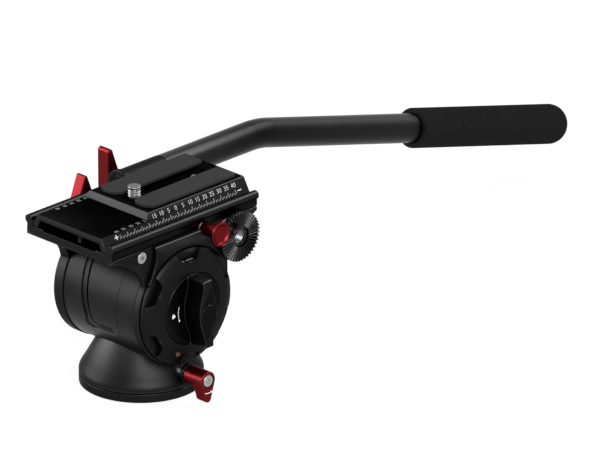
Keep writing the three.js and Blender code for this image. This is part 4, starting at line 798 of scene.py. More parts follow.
bedOutline = np.concatenate([bedHalf(bed["nearCore"]), (bedHalf(bed["farCore"]) * other)[::-1]])
lip = block((-bed["half"], bed["front"], bedBottom),
            (bed["half"], bed["front"] + bed["lip"], axisZ + recessFloor), bed["lugEdge"])
jawFoot = flankAt(plate["footTop"])
jawBack = jawFoot + gap + jaw["depth"] + jaw["travel"] + gap
jawFront, jawRear, jawTop = jaw["front"] - gap, jaw["rear"] + gap, jaw["top"] + gap
rodHalf, latchWide = button["rod"] + gap, latch["half"] + gap
bedCuts = [
    # the button's rod and its slot, the catch's room and pin, then the jaw's room and lip
    rod("x", rodHalf, latch["aside"], bed["half"], buttonCentre, 32),
    block((latch["aside"], buttonCentre[0] - rodHalf, bedBottom - 1),
          (button["pocketFloor"] + 1, buttonCentre[0] + rodHalf, buttonCentre[1])),
    block((latch["aside"] - latchWide, latch["pinPlace"] - latchWide, bedBottom - 1),
          (latch["aside"] + latchWide, buttonCentre[0] + latchWide, axisZ + latch["armHigh"] + gap)),
    rod("z", latch["pin"] + gap, bedBottom, axisZ + bed["beadHeight"], (latch["aside"], latch["pinPlace"]), 32),
    block((-jawBack, jawFront, axisZ + jaw["foot"] - gap), (-jawFoot - 0.05, jawRear, axisZ + jawTop)),
    block((-jawBack, jawFront, axisZ + plate["footTop"]), (-flankAt(jawTop), jawRear, axisZ + jawTop)),
    buttonRoom,
    mirrored(rod("x", lockRoom, plateLock["spindleEnd"] - gap, 31, lockCentre, 32)),
]
bedCuts += lugHoles(cheek["nearInner"], cheek["nearOuter"])
bedCuts += [mirrored(hole) for hole in lugHoles(cheek["farInner"], cheek["farOuter"])]
bedAdds = [lip] + lugs(bed["nearCore"]) + [mirrored(lug) for lug in lugs(bed["farCore"])]
addPiece("clampBedShell", "tilt", plateMetal,
         prism("y", bedOutline, bed["front"], bed["rear"], axle, bed["edge"]), ["clamp_bed"], adds=bedAdds,
         cuts=bedCuts)
print("clamp bed made")

# Camera plate, with its pads, screw and pin.


def plateOutline():
    # the plate's section: a dovetail with two feet, and flanks that lean inwards from the feet to the top
    foot, shoulder = flankAt(plate["footTop"]), flankAt(plate["web"]) - plate["leg"]
    top, topHalf, corner = plate["top"], plate["topHalf"], plate["corner"]
    half = softened(
        [(shoulder - 2, plate["web"]), (shoulder, plate["web"]), (foot - plate["leg"], plate["floor"]),
         (foot, plate["floor"]), (foot, plate["footTop"]), (topHalf, top), (topHalf - 2, top)],
        [0, 0, corner, corner, corner, corner, 0], 4)[1:-1]
    return bothSides(half)


def slotCut(wider, low):
    # a slot with round ends, wider all round by the given amount, from low to over the plate
    half, front, rear = plate["slotHalf"] + wider, plate["slotFront"] - wider, plate["slotRear"] + wider
    outline = np.concatenate([arc((0, rear - half), half, 0, 180), arc((0, front + half), half, 180, 360)])
    return prism("z", outline, axisZ + low, axisZ + plate["top"] + 1)


rampFoot, overTop = plate["raisedFront"] - plate["ramp"], plate["top"] + 4
steps = [(-60, plate["platform"]), (rampFoot, plate["platform"]), (rampFoot, plate["rampLow"]),
         (plate["raisedFront"], plate["top"]), (plate["raisedFront"], overTop), (-60, overTop)]
plateCuts = [prism("x", steps, -40, 40, axle), slotCut(0, plate["floor"]),
             slotCut(plate["ledge"], plate["top"] - plate["ledgeDepth"])]
stops = [rod("z", plate["stop"], axisZ + plate["floor"], axisZ + plate["web"] + 1, (plate["stopX"], place), 40)
         for place in plate["stopPlaces"]]
addPiece("slidingPlateShell", "plate", plateMetal,
         prism("y", plateOutline(), plate["front"], plate["rear"], axle, plate["edge"]), ["sliding_plate"],
         adds=stops, cuts=plateCuts)

pad = {"inner": 4.9, "outer": 17.9, "front": -11.0, "rear": 47.5, "low": 96.0, "high": 97.5, "rearCorner": 2.5,
       "frontCorner": 5.0, "edge": 0.35}


def padOutline():
    # a rectangle with round corners, wide ones at the front and tight ones at the rear
    inner, outer, front, rear = pad["inner"], pad["outer"], pad["front"], pad["rear"]
    wide, tight = pad["frontCorner"], pad["rearCorner"]
    return np.concatenate([
        arc((outer - wide, front + wide), wide, -90, 0, 10), arc((outer - tight, rear - tight), tight, 0, 90, 8),
        arc((inner + tight, rear - tight), tight, 90, 180, 8), arc((inner + wide, front + wide), wide, 180, 270, 10),
    ])


padShape = prism("z", padOutline(), pad["low"], pad["high"], edge=pad["edge"])
for side, _, _, flip in sides:
    addPiece(f"{side}PadRubber", "plate", rubber, padShape, [f"{side}_pad"], flip=flip)

cameraScrew = {
    "place": (0, -3.7), "headLow": 87.3, "headHigh": 88.8, "head": 7.5, "shank": 2.4, "threadLow": 96.2,
    "threadHigh": 100.3, "top": 101.2, "thread": 3.175, "pitch": 1.27, "depth": 0.62, "fade": 0.35, "washer": 8.0,
    "washerLow": 89.1, "washerHigh": 89.6,
}
head, shank, core = cameraScrew["head"], cameraScrew["shank"], cameraScrew["thread"]
low, high = cameraScrew["threadLow"], cameraScrew["threadHigh"]
screwProfile = np.concatenate([
    softened([(0, cameraScrew["headLow"]), (head, cameraScrew["headLow"]), (head, cameraScrew["headHigh"]),
              (shank, cameraScrew["headHigh"]), (shank, low)], [0, 0.25, 0.25, 0.2, 0]),
    rowsAt(core, np.arange(low + 0.1, high, 0.1)),
    softened([(core, high), (core, cameraScrew["top"]), (0, cameraScrew["top"])], [0, 0.5, 0]),
])
cameraThread = thread(core, cameraScrew["pitch"], cameraScrew["depth"], low, high, cameraScrew["fade"])
addPiece("cameraScrewThreaded", "screw", threadSteel,
         turned("z", screwProfile, cameraScrew["place"], 72, cameraThread), ["camera_screw"], sharp=50)
addPiece("screwWasherRing", "screw_carriage", blackPlastic,
         ring("z", shank + gap, cameraScrew["washer"], cameraScrew["washerLow"], cameraScrew["washerHigh"],
              cameraScrew["place"], 72, 0.12), ["screw_washer"])
videoPin = {"place": (0, 36.2), "foot": 5.4, "low": 88.4, "seat": 89.6, "radius": 1.6, "top": 94.5}
pinProfile = stepped([videoPin["low"], videoPin["foot"], videoPin["seat"], videoPin["radius"], videoPin["top"]],
                     [0, 0.2, 0.2, 0.2, 0.5, 0])
addPiece("videoPinTurned", "pin", steel, turned("z", pinProfile, videoPin["place"], 48), ["video_pin"])
print("camera plate made")

# Rosettes: toothed discs with threaded inserts.

rosette = {
    "place": (33.9, 26.3), "radius": 12.5, "face": 34.5, "back": 31.5, "teeth": 40, "depth": 1.2, "recess": 5.3,
    "recessDepth": 0.2, "recessWall": 0.6, "neck": 8.5, "insert": 4.3, "bore": 3.3, "insertInner": 27.5,
    "pitch": 0.8, "threadDepth": 0.42, "fade": 0.7, "land": 0.1, "insertEnd": 32.2, "rim": 0.25,
}
rosetteCentre = fromAxis(rosette["place"])
hubRadius = rosette["recess"] + rosette["recessWall"]
hubDepth = rosette["depth"] + rosette["recessDepth"]


def toothedDisc(back, tip):
    # the face falls from its tip by half the depth towards the centre, and by the whole depth in each valley
    depth, outer, inner, edge = rosette["depth"], rosette["radius"], rosette["recess"], rosette["rim"]
    faceRows = np.linspace(inner, outer - edge, 9)
    profile = np.concatenate([
        [(inner, back)], np.stack([faceRows, np.full(9, tip)], -1), [(outer, tip), (outer, back)],
    ])
    outward = np.sign(tip - back)

    def teeth(radius, along, turn):
        share = radius / outer
        wave = np.abs(2 * np.mod(rosette["teeth"] * turn / (2 * np.pi), 1) - 1)
        wave = np.clip((wave - rosette["land"]) / (1 - 2 * rosette["land"]), 0, 1)
        rim = np.clip((radius - outer + edge) / edge, 0, 1) * edge
        drop = depth * (1 - share) / 2 + depth * share * wave + rim
        return radius, np.where(np.abs(along - tip) < 0.01, along - outward * drop, along)

    return turned("x", profile, rosetteCentre, 400, teeth)


rosetteCuts = [rod("x", rosette["insert"] + gap, 20, rosette["insertEnd"] + 0.15, rosetteCentre, 72),
               rod("x", rosette["bore"] + 0.15, 20, 40, rosetteCentre, 72),
               rod("x", cheekScrew["head"] + gap, 20, 40, screwCentres["rear"], 64)]
for side, _, outer, flip in sides:
    adds = [rod("x", hubRadius, rosette["back"], rosette["face"] - hubDepth, rosetteCentre, 96),
            rod("x", rosette["neck"], outer + gap, rosette["back"] + 0.5, rosetteCentre, 96)]
    addPiece(f"{side}RosetteTeeth", "tilt", toothMetal, toothedDisc(rosette["back"], rosette["face"]),
             [f"{side}_rosette"], adds=adds, cuts=rosetteCuts, sharp=24, flip=flip)

insert, bore, insertInner, insertEnd = (rosette[key] for key in ("insert", "bore", "insertInner", "insertEnd"))
insertProfile = np.concatenate([
    [(bore + 0.3, insertInner), (insert, insertInner), (insert, insertEnd - 0.15), (insert - 0.15, insertEnd)],
    [(bore + 0.55, insertEnd), (bore + 0.1, insertEnd - 0.35)],
    rowsAt(bore, np.arange(insertInner + 0.4, insertEnd - 0.4, 0.1)[::-1]),
])
insertThread = thread(bore, rosette["pitch"], rosette["threadDepth"], insertInner, insertEnd, rosette["fade"], 1)
insertShape = turned("x", insertProfile, rosetteCentre, 72, insertThread)
for side, _, _, flip in sides:
    addPiece(f"{side}InsertThreaded", "tilt", threadSteel, insertShape, [f"{side}_rosette_insert"],
             sharp=50, flip=flip)
print("rosettes made")

# Drag dial and tilt lock knob.

dial = {
    "back": 29.3, "radius": 29.2, "rimFace": 31.3, "edgeRadius": 28.3, "edgeFace": 32.4, "crown": 24.5,
    "crownFace": 34.15, "shoulder": 21.0, "shoulderFace": 35.15, "face": 35.75, "bore": 17.9, "notches": 6,
    "notchFloor": 24.0, "notchWidth": 17.6, "notchFloorWidth": 9.8, "bevel": 0.28,
}
knob = {
    "radius": 17.6, "back": 31.8, "face": 35.75, "gripLength": 34.6, "gripTop": 46.5, "gripEdge": 0.55,
    "middle": 11.4, "end": 5.2, "tilt": 2.0, "boss": 4.93, "bossTop": 46.94, "stud": 3.3, "studHole": 34.85,
    "rim": 0.45, "sunk": 0.5, "plinth": 0.45, "plinthEdge": 0.2,
}
dialProfile = softened(
    [(dial["bore"], dial["back"]), (dial["radius"], dial["back"]), (dial["radius"], dial["rimFace"]),
     (dial["edgeRadius"], dial["edgeFace"]), (dial["crown"], dial["crownFace"]),
     (dial["shoulder"], dial["shoulderFace"]), (dial["bore"] + 0.4, dial["face"]),
     (dial["bore"], dial["face"] - 0.3)],
    [0, 0.2, 0.6, 1.2, 1.6, 1.6, 0.15, 0.1], 6, closed=True)
mouth, floorHalf, rimEnd = dial["notchWidth"] / 2 + 1, dial["notchFloorWidth"] / 2, dial["radius"] + 2
notch = softened([(-mouth, rimEnd), (-floorHalf, dial["notchFloor"]), (floorHalf, dial["notchFloor"]),
                  (mouth, rimEnd)], [0, 1.1, 1.1, 0])
notchCuts = [prism("x", turnedOutline(notch, turn), dial["rimFace"], dial["face"] + 2, axle)
             for turn in np.arange(dial["notches"]) * 360 / dial["notches"]]
addPiece("dragDialShell", "dial", blackMetal, turned("x", dialProfile, axle, 180),
         ["drag_dial"], cuts=notchCuts, bevel=dial["bevel"], sharp=50)


def gripOutline():
    # a wing knob's grip, thickest in the middle
    half, end, middle = knob["gripLength"] / 2, knob["end"] / 2, knob["middle"] / 2
    left = bezier((-end, -half), (-end, -half / 2), (-middle, -half / 2), (-middle, 0))
    right = bezier((-middle, 0), (-middle, half / 2), (-end, half / 2), (-end, half))
    side = np.concatenate([left, right])
    return turnedOutline(np.concatenate([side, -side]), knob["tilt"])


gripLow = knob["back"] + knob["sunk"]
knobProfile = stepped([knob["back"], knob["radius"], knob["face"]], [0, 0.2, knob["rim"], 0])
bossProfile = stepped([knob["gripTop"] - 2, knob["boss"], knob["bossTop"]], [0, 0, 0.3, 0])
knobAdds = [
    prism("x", inwards(tidyOutline(gripOutline()), -knob["plinth"]), gripLow, knob["face"] + knob["plinth"],
          axle, knob["plinthEdge"]),
    prism("x", gripOutline(), gripLow, knob["gripTop"], axle, knob["gripEdge"], 4),
    turned("x", bossProfile, axle),
]
addPiece("tiltLockKnobShell", "tilt_knob", blackPlastic, turned("x", knobProfile, axle, 144),
         ["tilt_lock_knob"], adds=knobAdds,
         cuts=[rod("x", knob["stud"], knob["back"] - 1, knob["studHole"], axle, 40)])
print("dial and knob made")

# Levers and the release button.


def leverOutline(lever, up=False):
    # a hub and a smaller tip, joined by their common tangents
    hub, arm, tip = lever["hub"], lever["arm"], lever["tip"]
    lean = np.degrees(np.arcsin((hub - tip) / arm))
    hubArc, tipArc = arc((0, 0), hub, -lean, 180 + lean, 40), arc((0, -arm), tip, 180 + lean, 360 - lean, 16)
    outline = np.concatenate([hubArc, tipArc])
    return -outline if up else outline


panLock = {
    "centre": (0, 12.5), "hub": 4.65, "start": 33.4, "face": 45.9, "armStart": 39.2, "arm": 9.3, "tip": 1.9,
    "edge": 0.6, "spindleRoom": 2.7, "spindleEnd": 42.3, "screwHead": 3.0, "screwHigh": 1.4, "shank": 1.5,
    "socket": 1.15, "socketDepth": 1.0, "collar": 5.0, "collarStart": 31.0, "collarEnd": 33.1,
}
lockAt, lockFace = panLock["centre"], panLock["face"]
headSeat = lockFace - panLock["screwHigh"]
panLockCuts = [
    rod("x", panLock["spindleRoom"], 30, panLock["spindleEnd"], lockAt, 40),
    rod("x", panLock["shank"] + gap, 40, 50, lockAt, 32),
    rod("x", panLock["screwHead"] + gap, headSeat - gap, 50, lockAt, 56),
]
hubProfile = stepped([panLock["start"], panLock["hub"], lockFace - 1], [0, 0.4, 0, 0])
addPiece("panLockLeverShell", "pan_lock", redMetal,
         prism("x", leverOutline(panLock), panLock["armStart"], lockFace, lockAt, panLock["edge"], 4),
         ["pan_lock_lever"], adds=[turned("x", hubProfile, lockAt, 72)], cuts=panLockCuts)
lockScrewProfile = stepped([panLock["spindleEnd"], panLock["shank"], headSeat, panLock["screwHead"], lockFace],
                           [0, 0.2, 0.1, 0.1, 0.45, 0])
screwSocket = hexSocket("x", panLock["socket"], lockFace - panLock["socketDepth"], lockFace + 1, lockAt)
addPiece("panLockScrewHead", "pan_lock", steel, turned("x", lockScrewProfile, lockAt, 56),
         ["pan_lock_screw"], cuts=[screwSocket])
addPiece("panLockCollarRing", "pan_lock", blackPlastic,
         ring("x", panLock["spindleRoom"], panLock["collar"], panLock["collarStart"], panLock["collarEnd"], lockAt,
              64, 0.25), ["pan_lock_collar"])

lockInner, lockOuter, spindle = plateLock["inner"], plateLock["outer"], plateLock["spindle"]
lockMiddle = (lockInner + lockOuter) / 2
addPiece("plateLockLeverShell", "plate_lock", redMetal,
         prism("x", leverOutline(plateLock, True), lockInner, lockOuter, lockCentre, plateLock["edge"], 4),
         ["plate_lock_lever"], cuts=[rod("x", lockRoom, 32, lockMiddle, lockCentre, 32)], flip=True)
spindleProfile = stepped(
    [plateLock["spindleEnd"], spindle, plateLock["bedOuter"] + gap, plateLock["collar"], lockInner - gap, spindle,
     lockMiddle - gap], [0, 0.2, 0.1, 0.3, 0.3, 0.1, 0.2, 0])
addPiece("plateLockSpindleTurned", "plate_lock", steel, turned("x", spindleProfile, lockCentre, 48),
         ["plate_lock_spindle"], flip=True)

stem, stemStart, disc, face = button["stem"], button["stemStart"], button["disc"], button["face"]
rimBack, dishFloor = face - button["rim"], face - button["dish"]
buttonProfile = np.concatenate([
    softened([(0, button["rodEnd"]), (button["rod"], button["rodEnd"]), (button["rod"], stemStart),
              (stem, stemStart), (stem, stemStart + 2)], [0, 0.2, 0.1, 0.3, 0]),
    bezier((stem, rimBack - button["flare"]), (stem + 0.1, rimBack - 1.2), (disc - 0.9, rimBack - 0.5),
           (disc, rimBack), 14),
    softened([(disc, rimBack + 0.1), (disc, face), (disc - 0.95, face), (disc - 1.9, dishFloor), (0, dishFloor)],
             [0, 0.5, 0.35, 0.8, 0], 6),
])
addPiece("releaseButtonTurned", "button", redMetal, turned("x", buttonProfile, buttonCentre),
         ["release_button"], sharp=60)
print("levers and button made")

# Pan bar: holder, tube, grip and lever.

bar = {
    "x": -43.0, "z": 78.8, "front": 27.6, "rear": 56.0, "radius": 7.4, "flange": 8.0, "flangeEnd": 30.2,
    "capRoom": 5.6, "capRoomEnd": 29.5, "capRadius": 5.3, "capStart": 27.75, "capEnd": 29.2, "spigotRoom": 5.9,
    "spigotStart": 41.7, "slope": 0.3, "discBack": 38.8, "discTip": 34.8, "boss": 6.4, "bossEnd": 51.1, "bolt": 3.3,
    "tube": 7.25, "tubeStart": 56.3, "spigot": 5.6, "spigotLength": 14.3, "bendStart": 114.4, "bendRadius": 50.0,
    "bend": 15.27, "gripStart": 225.9, "tubeInGrip": 94.6,
}
barCentre = (bar["x"], bar["z"])
holderProfile = softened(
    [(0, bar["capRoomEnd"]), (bar["capRoom"], bar["capRoomEnd"]), (bar["capRoom"], bar["front"]),
     (bar["flange"], bar["front"]), (bar["flange"], bar["flangeEnd"]),
     (bar["radius"], bar["flangeEnd"] + bar["slope"]),
     (bar["radius"], bar["rear"]), (bar["spigotRoom"], bar["rear"]), (bar["spigotRoom"], bar["spigotStart"]),
     (0, bar["spigotStart"])],
    [0, 0.1, 0.3, 0.6, 0.4, 0.2, 0.35, 0.1, 0.1, 0])
discBack, discTip = -bar["discBack"], -bar["discTip"]
holderAdds = [rod("x", bar["boss"], -bar["bossEnd"], discBack + 1, rosetteCentre, 72),
              toothedDisc(discBack, discTip), rod("x", hubRadius, discBack, discTip - hubDepth, rosetteCentre, 72)]
addPiece("barHolderShell", "bar", blackMetal, turned("y", holderProfile, barCentre, 120),
         ["bar_holder"], adds=holderAdds, cuts=[rod("x", bar["bolt"], -60, -20, rosetteCentre, 48)], sharp=24)
capProfile = stepped([bar["capStart"], bar["capRadius"], bar["capEnd"]], [0, 0.35, 0.1, 0])
addPiece("barFrontCapDisc", "bar", blackPlastic, turned("y", capProfile, barCentre, 72), ["bar_front_cap"])


def barStations(start, end):
    # y, z and slope of the bar's centre line: level, then an arc downwards, then straight on to the end
    bend = np.radians(bar["bend"])
    turns = np.linspace(0, bend, 25)
    y = bar["bendStart"] + bar["bendRadius"] * np.sin(turns)
    z = bar["z"] - bar["bendRadius"] * (1 - np.cos(turns))
    last = z[-1] - (end - y[-1]) * np.tan(bend)
    return np.concatenate([[(start, bar["z"], 0.0)], np.stack([y, z, turns], -1), [(end, last, bend)]])


def pipe(radius, stations, columns=96):
    # circles square to the centre line at each station, closed at both ends
    turn = np.arange(columns) * 2 * np.pi / columns
    y, z, lean = (stations[:, i][:, None] for i in range(3))
    across, up = radius * np.cos(turn), radius * np.sin(turn)
    points = np.stack(np.broadcast_arrays(bar["x"] + across, y + up * np.sin(lean), z + up * np.cos(lean)), -1)
    count = len(stations)
    ends = [list(range(columns)), list(range((count - 1) * columns, count * columns))]
    return points.reshape(-1, 3), quads(count, columns) + ends


gripLean = np.radians(bar["bend"])
tubeEnd = bar["gripStart"] + bar["tubeInGrip"] * np.cos(gripLean)
spigot = rod("y", bar["spigot"], bar["tubeStart"] - bar["spigotLength"], bar["tubeStart"] + 1, barCentre, 64)
addPiece("panBarTubeShell", "bar", barMetal, pipe(bar["tube"], barStations(bar["tubeStart"], tubeEnd)),
         ["pan_bar_tube"], adds=[spigot])

grip = {"length": 106.9, "radius": 9.85, "bore": 7.55, "boreEnd": 95.2, "lip": 0.9, "dome": 9.0, "domeForm": 0.85}
domeTurn = np.radians(np.linspace(0, 90, 20))
domeStart = grip["length"] - grip["dome"]
gripProfile = np.concatenate([
    [(0, grip["boreEnd"]), (grip["bore"], grip["boreEnd"]), (grip["bore"], 0.1)],
    softened([(grip["bore"], 0), (grip["radius"], 0), (grip["radius"], 6)], [0, grip["lip"], 0]),
    rowsAt(grip["radius"], np.linspace(7, domeStart - 1, 40)),
    np.stack([grip["radius"] * np.cos(domeTurn) ** grip["domeForm"], domeStart + grip["dome"] * np.sin(domeTurn)],
             -1)[:-1],
    [(0, grip["length"])],
])
gripPoints, gripFaces = turned("y", gripProfile, columns=128)
gripStartZ = barStations(bar["tubeStart"], bar["gripStart"])[-1, 1]
lean = np.array([[1, 0, 0], [0, np.cos(gripLean), -np.sin(gripLean)], [0, np.sin(gripLean), np.cos(gripLean)]])
gripPoints = gripPoints @ lean + np.array([bar["x"], bar["gripStart"], gripStartZ])
addPiece("gripFoam", "bar", foam, (gripPoints, gripFaces), ["grip"])

barLock = {"hub": 4.9, "inner": 51.4, "outer": 58.9, "arm": 19.3, "tip": 1.6, "bolt": 3.0, "edge": 0.6}


def straightLever(hub, arm, tip):
    # the front edge is upright, and the rear edge leans from the hub to a tip that stands over the front edge
    ahead = hub - tip
    lean = np.degrees(np.arctan2(arm, -ahead) - np.arccos(ahead / np.hypot(arm, ahead)))
    return np.concatenate([arc((0, 0), hub, 180, 360 + lean, 48), arc((-ahead, arm), tip, lean, 180, 16)])


barLockMiddle = (barLock["inner"] + barLock["outer"]) / 2
addPiece("barLockLeverShell", "bar_lock", redMetal,
         prism("x", straightLever(barLock["hub"], barLock["arm"], barLock["tip"]), barLock["inner"],
               barLock["outer"], rosetteCentre, barLock["edge"], 4),
         ["bar_lock_lever"], cuts=[rod("x", barLock["bolt"] + gap, 50, barLockMiddle, rosetteCentre, 40)], flip=True)
print("pan bar made")

# Marks: thin closed shapes, half in the surface below them.

markHalf = 0.03


def lettering(text, size):
    # closed thin letters of the built-in font, centred on the origin, as points and faces
    curve = bpy.data.curves.new("letters", "FONT")
    curve.body, curve.size, curve.extrude = text, size, markHalf
    curve.align_x, curve.align_y, curve.resolution_u = "CENTER", "CENTER", 3
    holder = newObject("letters", curve)
    mesh = settledMesh(holder)
    points = np.empty(len(mesh.vertices) * 3)
    mesh.vertices.foreach_get("co", points)
    faces = [list(face.vertices) for face in mesh.polygons]
    bpy.data.objects.remove(holder)
    bpy.data.curves.remove(curve)
    bpy.data.meshes.remove(mesh)
    return points.reshape(-1, 3), faces


def flat(outline):
    # a mark of even thickness
    return prism("z", outline, -markHalf, markHalf)


def flatBar(x0, x1, y0, y1):
    # a flat bar
    return flat([(x0, y0), (x1, y0), (x1, y1), (x0, y1)])


def stroke(points, width):
    # a flat band of even width along a run of points
    points = np.asarray(points, float)
    along = np.gradient(points, axis=0)
    along /= np.linalg.norm(along, axis=1)[:, None]
    side = np.stack([-along[:, 1], along[:, 0]], -1) * width / 2
    return flat(np.concatenate([points + side, (points - side)[::-1]]))


def laid(shape, origin, right=(0, 1, 0), up=(0, 0, 1)):
    # a flat shape is laid on a surface: its x goes right, its y goes up and its z stands out of the surface
    right, up = np.asarray(right, float), np.asarray(up, float)
    right, up = right / np.linalg.norm(right), up / np.linalg.norm(up)
    points = np.asarray(shape[0])
    out = np.cross(right, up)
    return np.asarray(origin) + points[:, :1] * right + points[:, 1:2] * up + points[:, 2:] * out, shape[1]


scale = {
    "zero": 3.3, "step": 4.79, "steps": 8, "ticks": 18, "tickLow": 90.0, "tickStep": 2.13, "tickWidth": 0.38,
    "tickSlant": 1.87, "tickRise": 1.05, "majorLow": 1.1, "majorHigh": 2.2, "numberZ": 93.8, "numberSize": 3.2,
    "perStep": 5, "firstHigh": -3, "signZ": 91.2, "signSize": 1.25, "signWidth": 0.45, "signPlace": 40.9, "edgeX": 20.4,
    "edgeShift": 0.5, "platformZ": 92.9, "smallSize": 2.6, "farFirst": -35.3, "farStep": 4.6, "farX": -19.9,
}
flankUp = np.array([-plate["lean"], 0, 1.0]) / np.hypot(plate["lean"], 1)


def onFlank(shape, y, z):
    # laid on the plate's near flank
    return laid(shape, (flankAt(z - axisZ), y, z), up=flankUp)


def centred(limit):
    # whole numbers from -limit to limit
    return range(-limit, limit + 1)


zero, scaleStep, size, width = scale["zero"], scale["step"], scale["signSize"], scale["signWidth"]
slanted = stroke([(-scale["tickSlant"] / 2, 0), (scale["tickSlant"] / 2, scale["tickRise"])], scale["tickWidth"])
major = stroke([(0, scale["majorLow"]), (0, scale["majorHigh"])], scale["tickWidth"])
faintMarks = [onFlank(slanted, zero + n * scale["tickStep"], scale["tickLow"]) for n in centred(scale["ticks"])]
faintMarks += [onFlank(major, zero + n * scaleStep, scale["tickLow"]) for n in centred(scale["steps"])]
numberMarks = []
for n in centred(scale["steps"]):
    # the numbers stand on the flank where the plate is high, and on the lower platform ahead of it
    number = str(scale["perStep"] * abs(n))
    if n >= scale["firstHigh"]:
        letters = lettering(number, scale["numberSize"])
        numberMarks.append(onFlank(letters, zero + n * scaleStep, scale["numberZ"]))
    else:
        origin = (scale["edgeX"], zero + n * scaleStep - scale["edgeShift"], scale["platformZ"])
        faintMarks.append(laid(lettering(number, scale["smallSize"]), origin, up=(-1, 0, 0)))
for i, number in enumerate((40, 35, 30, 25, 20)):
    origin = (scale["farX"], scale["farFirst"] + i * scale["farStep"], scale["platformZ"])
    faintMarks.append(laid(lettering(str(number), scale["smallSize"]), origin, (0, -1, 0), (1, 0, 0)))
level, upright = stroke([(-size, 0), (size, 0)], width), stroke([(0, -size), (0, size)], width)
plusY, minusY = zero - scale["signPlace"], zero + scale["signPlace"]
marks = [onFlank(shape, y, scale["signZ"]) for shape, y in ((level, plusY), (upright, plusY), (level, minusY))]
addPiece("scaleMarks", "plate", whitePaint, combined(marks))
addPiece("numberMarks", "plate", greyPaint, combined(numberMarks))
addPiece("platformMarks", "plate", faintPaint, combined(faintMarks))

knobMarks = {
    "arrow": {"radius": 9.9, "start": 160.0, "end": 200.0, "width": 0.3, "head": 1.2}, "lockPlace": (-13.0, -0.4),
    "lockSize": 0.95, "lockRight": (0, 0.94, 0.34), "lockUp": (0, -0.34, 0.94),
}
leverArrow = {"radius": 6.2, "start": 248, "end": 284, "width": 0.4, "head": 1.2}
dialMarks = {
    "face": 32.35, "bars": ((-3.7, -2.5), (-1.4, 3.4)), "barHalf": 0.55, "dot": 1.5, "dotLow": 33.6,
    "dotTop": 34.75, "dotTurn": 246.5, "dotPlace": 23.0,
}


def arrow(look):
    # a curved stroke with a three-sided head at its end
    points, head = arc((0, 0), look["radius"], look["start"], look["end"], 14), look["head"]
    tip = points[-1]
    along = (points[-1] - points[-2]) / np.linalg.norm(points[-1] - points[-2])
    side = np.array([-along[1], along[0]])
    point = flat([tip + side * head * 0.55, tip + along * head, tip - side * head * 0.55])
    return [stroke(points, look["width"]), point]


def padlock(size):
    # a square body with a half round shackle over it
    shackle = stroke(arc((0, size * 0.5), size * 0.62, 0, 180, 10), size * 0.32)
    return [flatBar(-size, size, -size, size * 0.5), shackle]


lockOrigin = (knob["face"], *fromAxis(knobMarks["lockPlace"]))
knobShapes = [laid(shape, (knob["face"], 0, axisZ)) for shape in arrow(knobMarks["arrow"])]
knobShapes += [laid(shape, lockOrigin, knobMarks["lockRight"], knobMarks["lockUp"])
               for shape in padlock(knobMarks["lockSize"])]
addPiece("knobMarks", "tilt_knob", whitePaint, combined(knobShapes))
half, onNotch = dialMarks["barHalf"], (dialMarks["face"], 0, axisZ + dial["notchFloor"])
notchShapes = [laid(flatBar(start, end, -half, half), onNotch, up=(-1, 0, 0)) for start, end in dialMarks["bars"]]
addPiece("dialMarks", "dial", faintPaint, combined(notchShapes))
dotCentre = arc(axle, dialMarks["dotPlace"], dialMarks["dotTurn"], dialMarks["dotTurn"], 0)[0]
dotProfile = stepped([dialMarks["dotLow"], dialMarks["dot"], dialMarks["dotTop"]], [0, 0, 0.2, 0])
addPiece("dialRedDot", "dial", redPaint, turned("x", dotProfile, dotCentre, 40))
addPiece("panLockMark", "pan_lock", whitePaint,
         combined([laid(shape, (lockFace, *lockAt)) for shape in arrow(leverArrow)]))
print("marks made")

# Camera, light and floor.

view = {
    "target": (-0.42, 107.53, 46.2), "azimuth": 45.34, "elevation": 22.903, "roll": -0.266, "lens": 1200.0,
    "sensor": 36.0, "away": 9.6164, "clip": 40.0,
}


def direction(azimuth, elevation):
    # (cos a cos e, sin a cos e, sin e)
    turn, lift = np.radians(azimuth), np.radians(elevation)
    return Vector((np.cos(turn) * np.cos(lift), np.sin(turn) * np.cos(lift), np.sin(lift)))


back = direction(view["azimuth"] - 90, view["elevation"])  # the view's azimuth counts from the front, at -y
camera = newObject("camera", bpy.data.cameras.new("camera"))
camera.data.lens, camera.data.sensor_width, camera.data.clip_end = view["lens"], view["sensor"], view["clip"]
camera.location = Vector(view["target"]) * mm + back * view["away"]
facing = back.to_track_quat("Z", "Y").to_matrix() @ Matrix.Rotation(np.radians(view["roll"]), 3, "Z")
camera.rotation_euler = facing.to_euler()
bpy.context.scene.camera = camera

lamps = {
    "frontLeft": {"azimuth": -148, "elevation": 19, "away": 1.35, "wide": 1.15, "high": 0.95, "glow": 7.6},
    "frontRight": {"azimuth": -30, "elevation": 31, "away": 1.30, "wide": 0.90, "high": 0.60, "glow": 12.0},
    "rearRight": {"azimuth": 78, "elevation": 43, "away": 1.30, "wide": 0.85, "high": 0.45, "glow": 12.5},
}
middle = Vector((0, 0.05, 0.05))
for name, lamp in lamps.items():
    # a lit rectangle looks as bright as its glow where the energy is glow * pi * area
    light = bpy.data.lights.new(name, "AREA")
    light.shape, light.size, light.size_y = "RECTANGLE", lamp["wide"], lamp["high"]
    light.energy = lamp["glow"] * np.pi * lamp["wide"] * lamp["high"]
    holder = newObject(name, light)
    outwards = direction(lamp["azimuth"], lamp["elevation"])
    holder.location = middle + outwards * lamp["away"]
    holder.rotation_euler = outwards.to_track_quat("Z", "Y").to_euler()

studio = {"ambient": 0.15, "floorShade": 0.12, "floorColour": 0.9, "floorSize": 5.0, "floorZ": -0.0004}


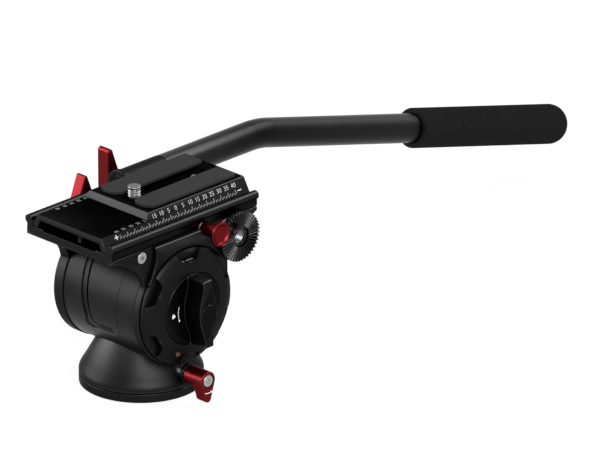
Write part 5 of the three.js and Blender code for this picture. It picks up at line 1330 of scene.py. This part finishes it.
def seenBackground(tree):
    # 1 where a ray comes from the camera, a mirror or glass, else 0
    rays = tree.nodes.new("ShaderNodeLightPath")
    total = rays.outputs["Is Camera Ray"]
    for kind in ("Is Glossy Ray", "Is Transmission Ray"):
        most = tree.nodes.new("ShaderNodeMath")
        most.operation = "MAXIMUM"
        tree.links.new(total, most.inputs[0])
        tree.links.new(rays.outputs[kind], most.inputs[1])
        total = most.outputs[0]
    return total


def shader(tree, kind, values):
    # the output of a new shader node with its values set
    made = tree.nodes.new(kind)
    for key, value in values.items():
        made.inputs[key].default_value = value
    return made.outputs[0]


def blended(tree, share, first, second, output):
    # the surface is the first shader where the share is 0 and the second where it is 1
    blend, end = tree.nodes.new("ShaderNodeMixShader"), tree.nodes.new(output)
    for key, source in (("Fac", share), (1, first), (2, second)):
        tree.links.new(source, blend.inputs[key])
    tree.links.new(blend.outputs[0], end.inputs["Surface"])


def emptyTree(holder):
    # the node tree of a world or a material, without nodes
    holder.use_nodes = True
    holder.node_tree.nodes.clear()
    return holder.node_tree


world = bpy.data.worlds.new("studio")
bpy.context.scene.world = world
tree = emptyTree(world)
soft = shader(tree, "ShaderNodeBackground", {"Color": grey(1), "Strength": studio["ambient"]})
plain = shader(tree, "ShaderNodeBackground", {"Color": grey(1), "Strength": 1.0})
blended(tree, seenBackground(tree), soft, plain, "ShaderNodeOutputWorld")

half, floorZ = studio["floorSize"] / 2, studio["floorZ"]
floorMesh = bpy.data.meshes.new("floor")
floorMesh.from_pydata([(-half, -half, floorZ), (half, -half, floorZ), (half, half, floorZ), (-half, half, floorZ)],
                      [], [[0, 1, 2, 3]])
floor = newObject("floor", floorMesh)
floorMaterial = bpy.data.materials.new("pale_floor")
tree = emptyTree(floorMaterial)
weight = tree.nodes.new("ShaderNodeMath")
weight.operation = "MULTIPLY"
weight.inputs[1].default_value = 1 - studio["floorShade"]
tree.links.new(seenBackground(tree), weight.inputs[0])
matt = shader(tree, "ShaderNodeBsdfDiffuse", {"Color": grey(studio["floorColour"])})
glow = shader(tree, "ShaderNodeEmission", {"Strength": 1.0})
blended(tree, weight.outputs[0], matt, glow, "ShaderNodeOutputMaterial")
floorMesh.materials.append(floorMaterial)

bpy.context.scene.view_settings.view_transform = "Standard"
print("scene made")
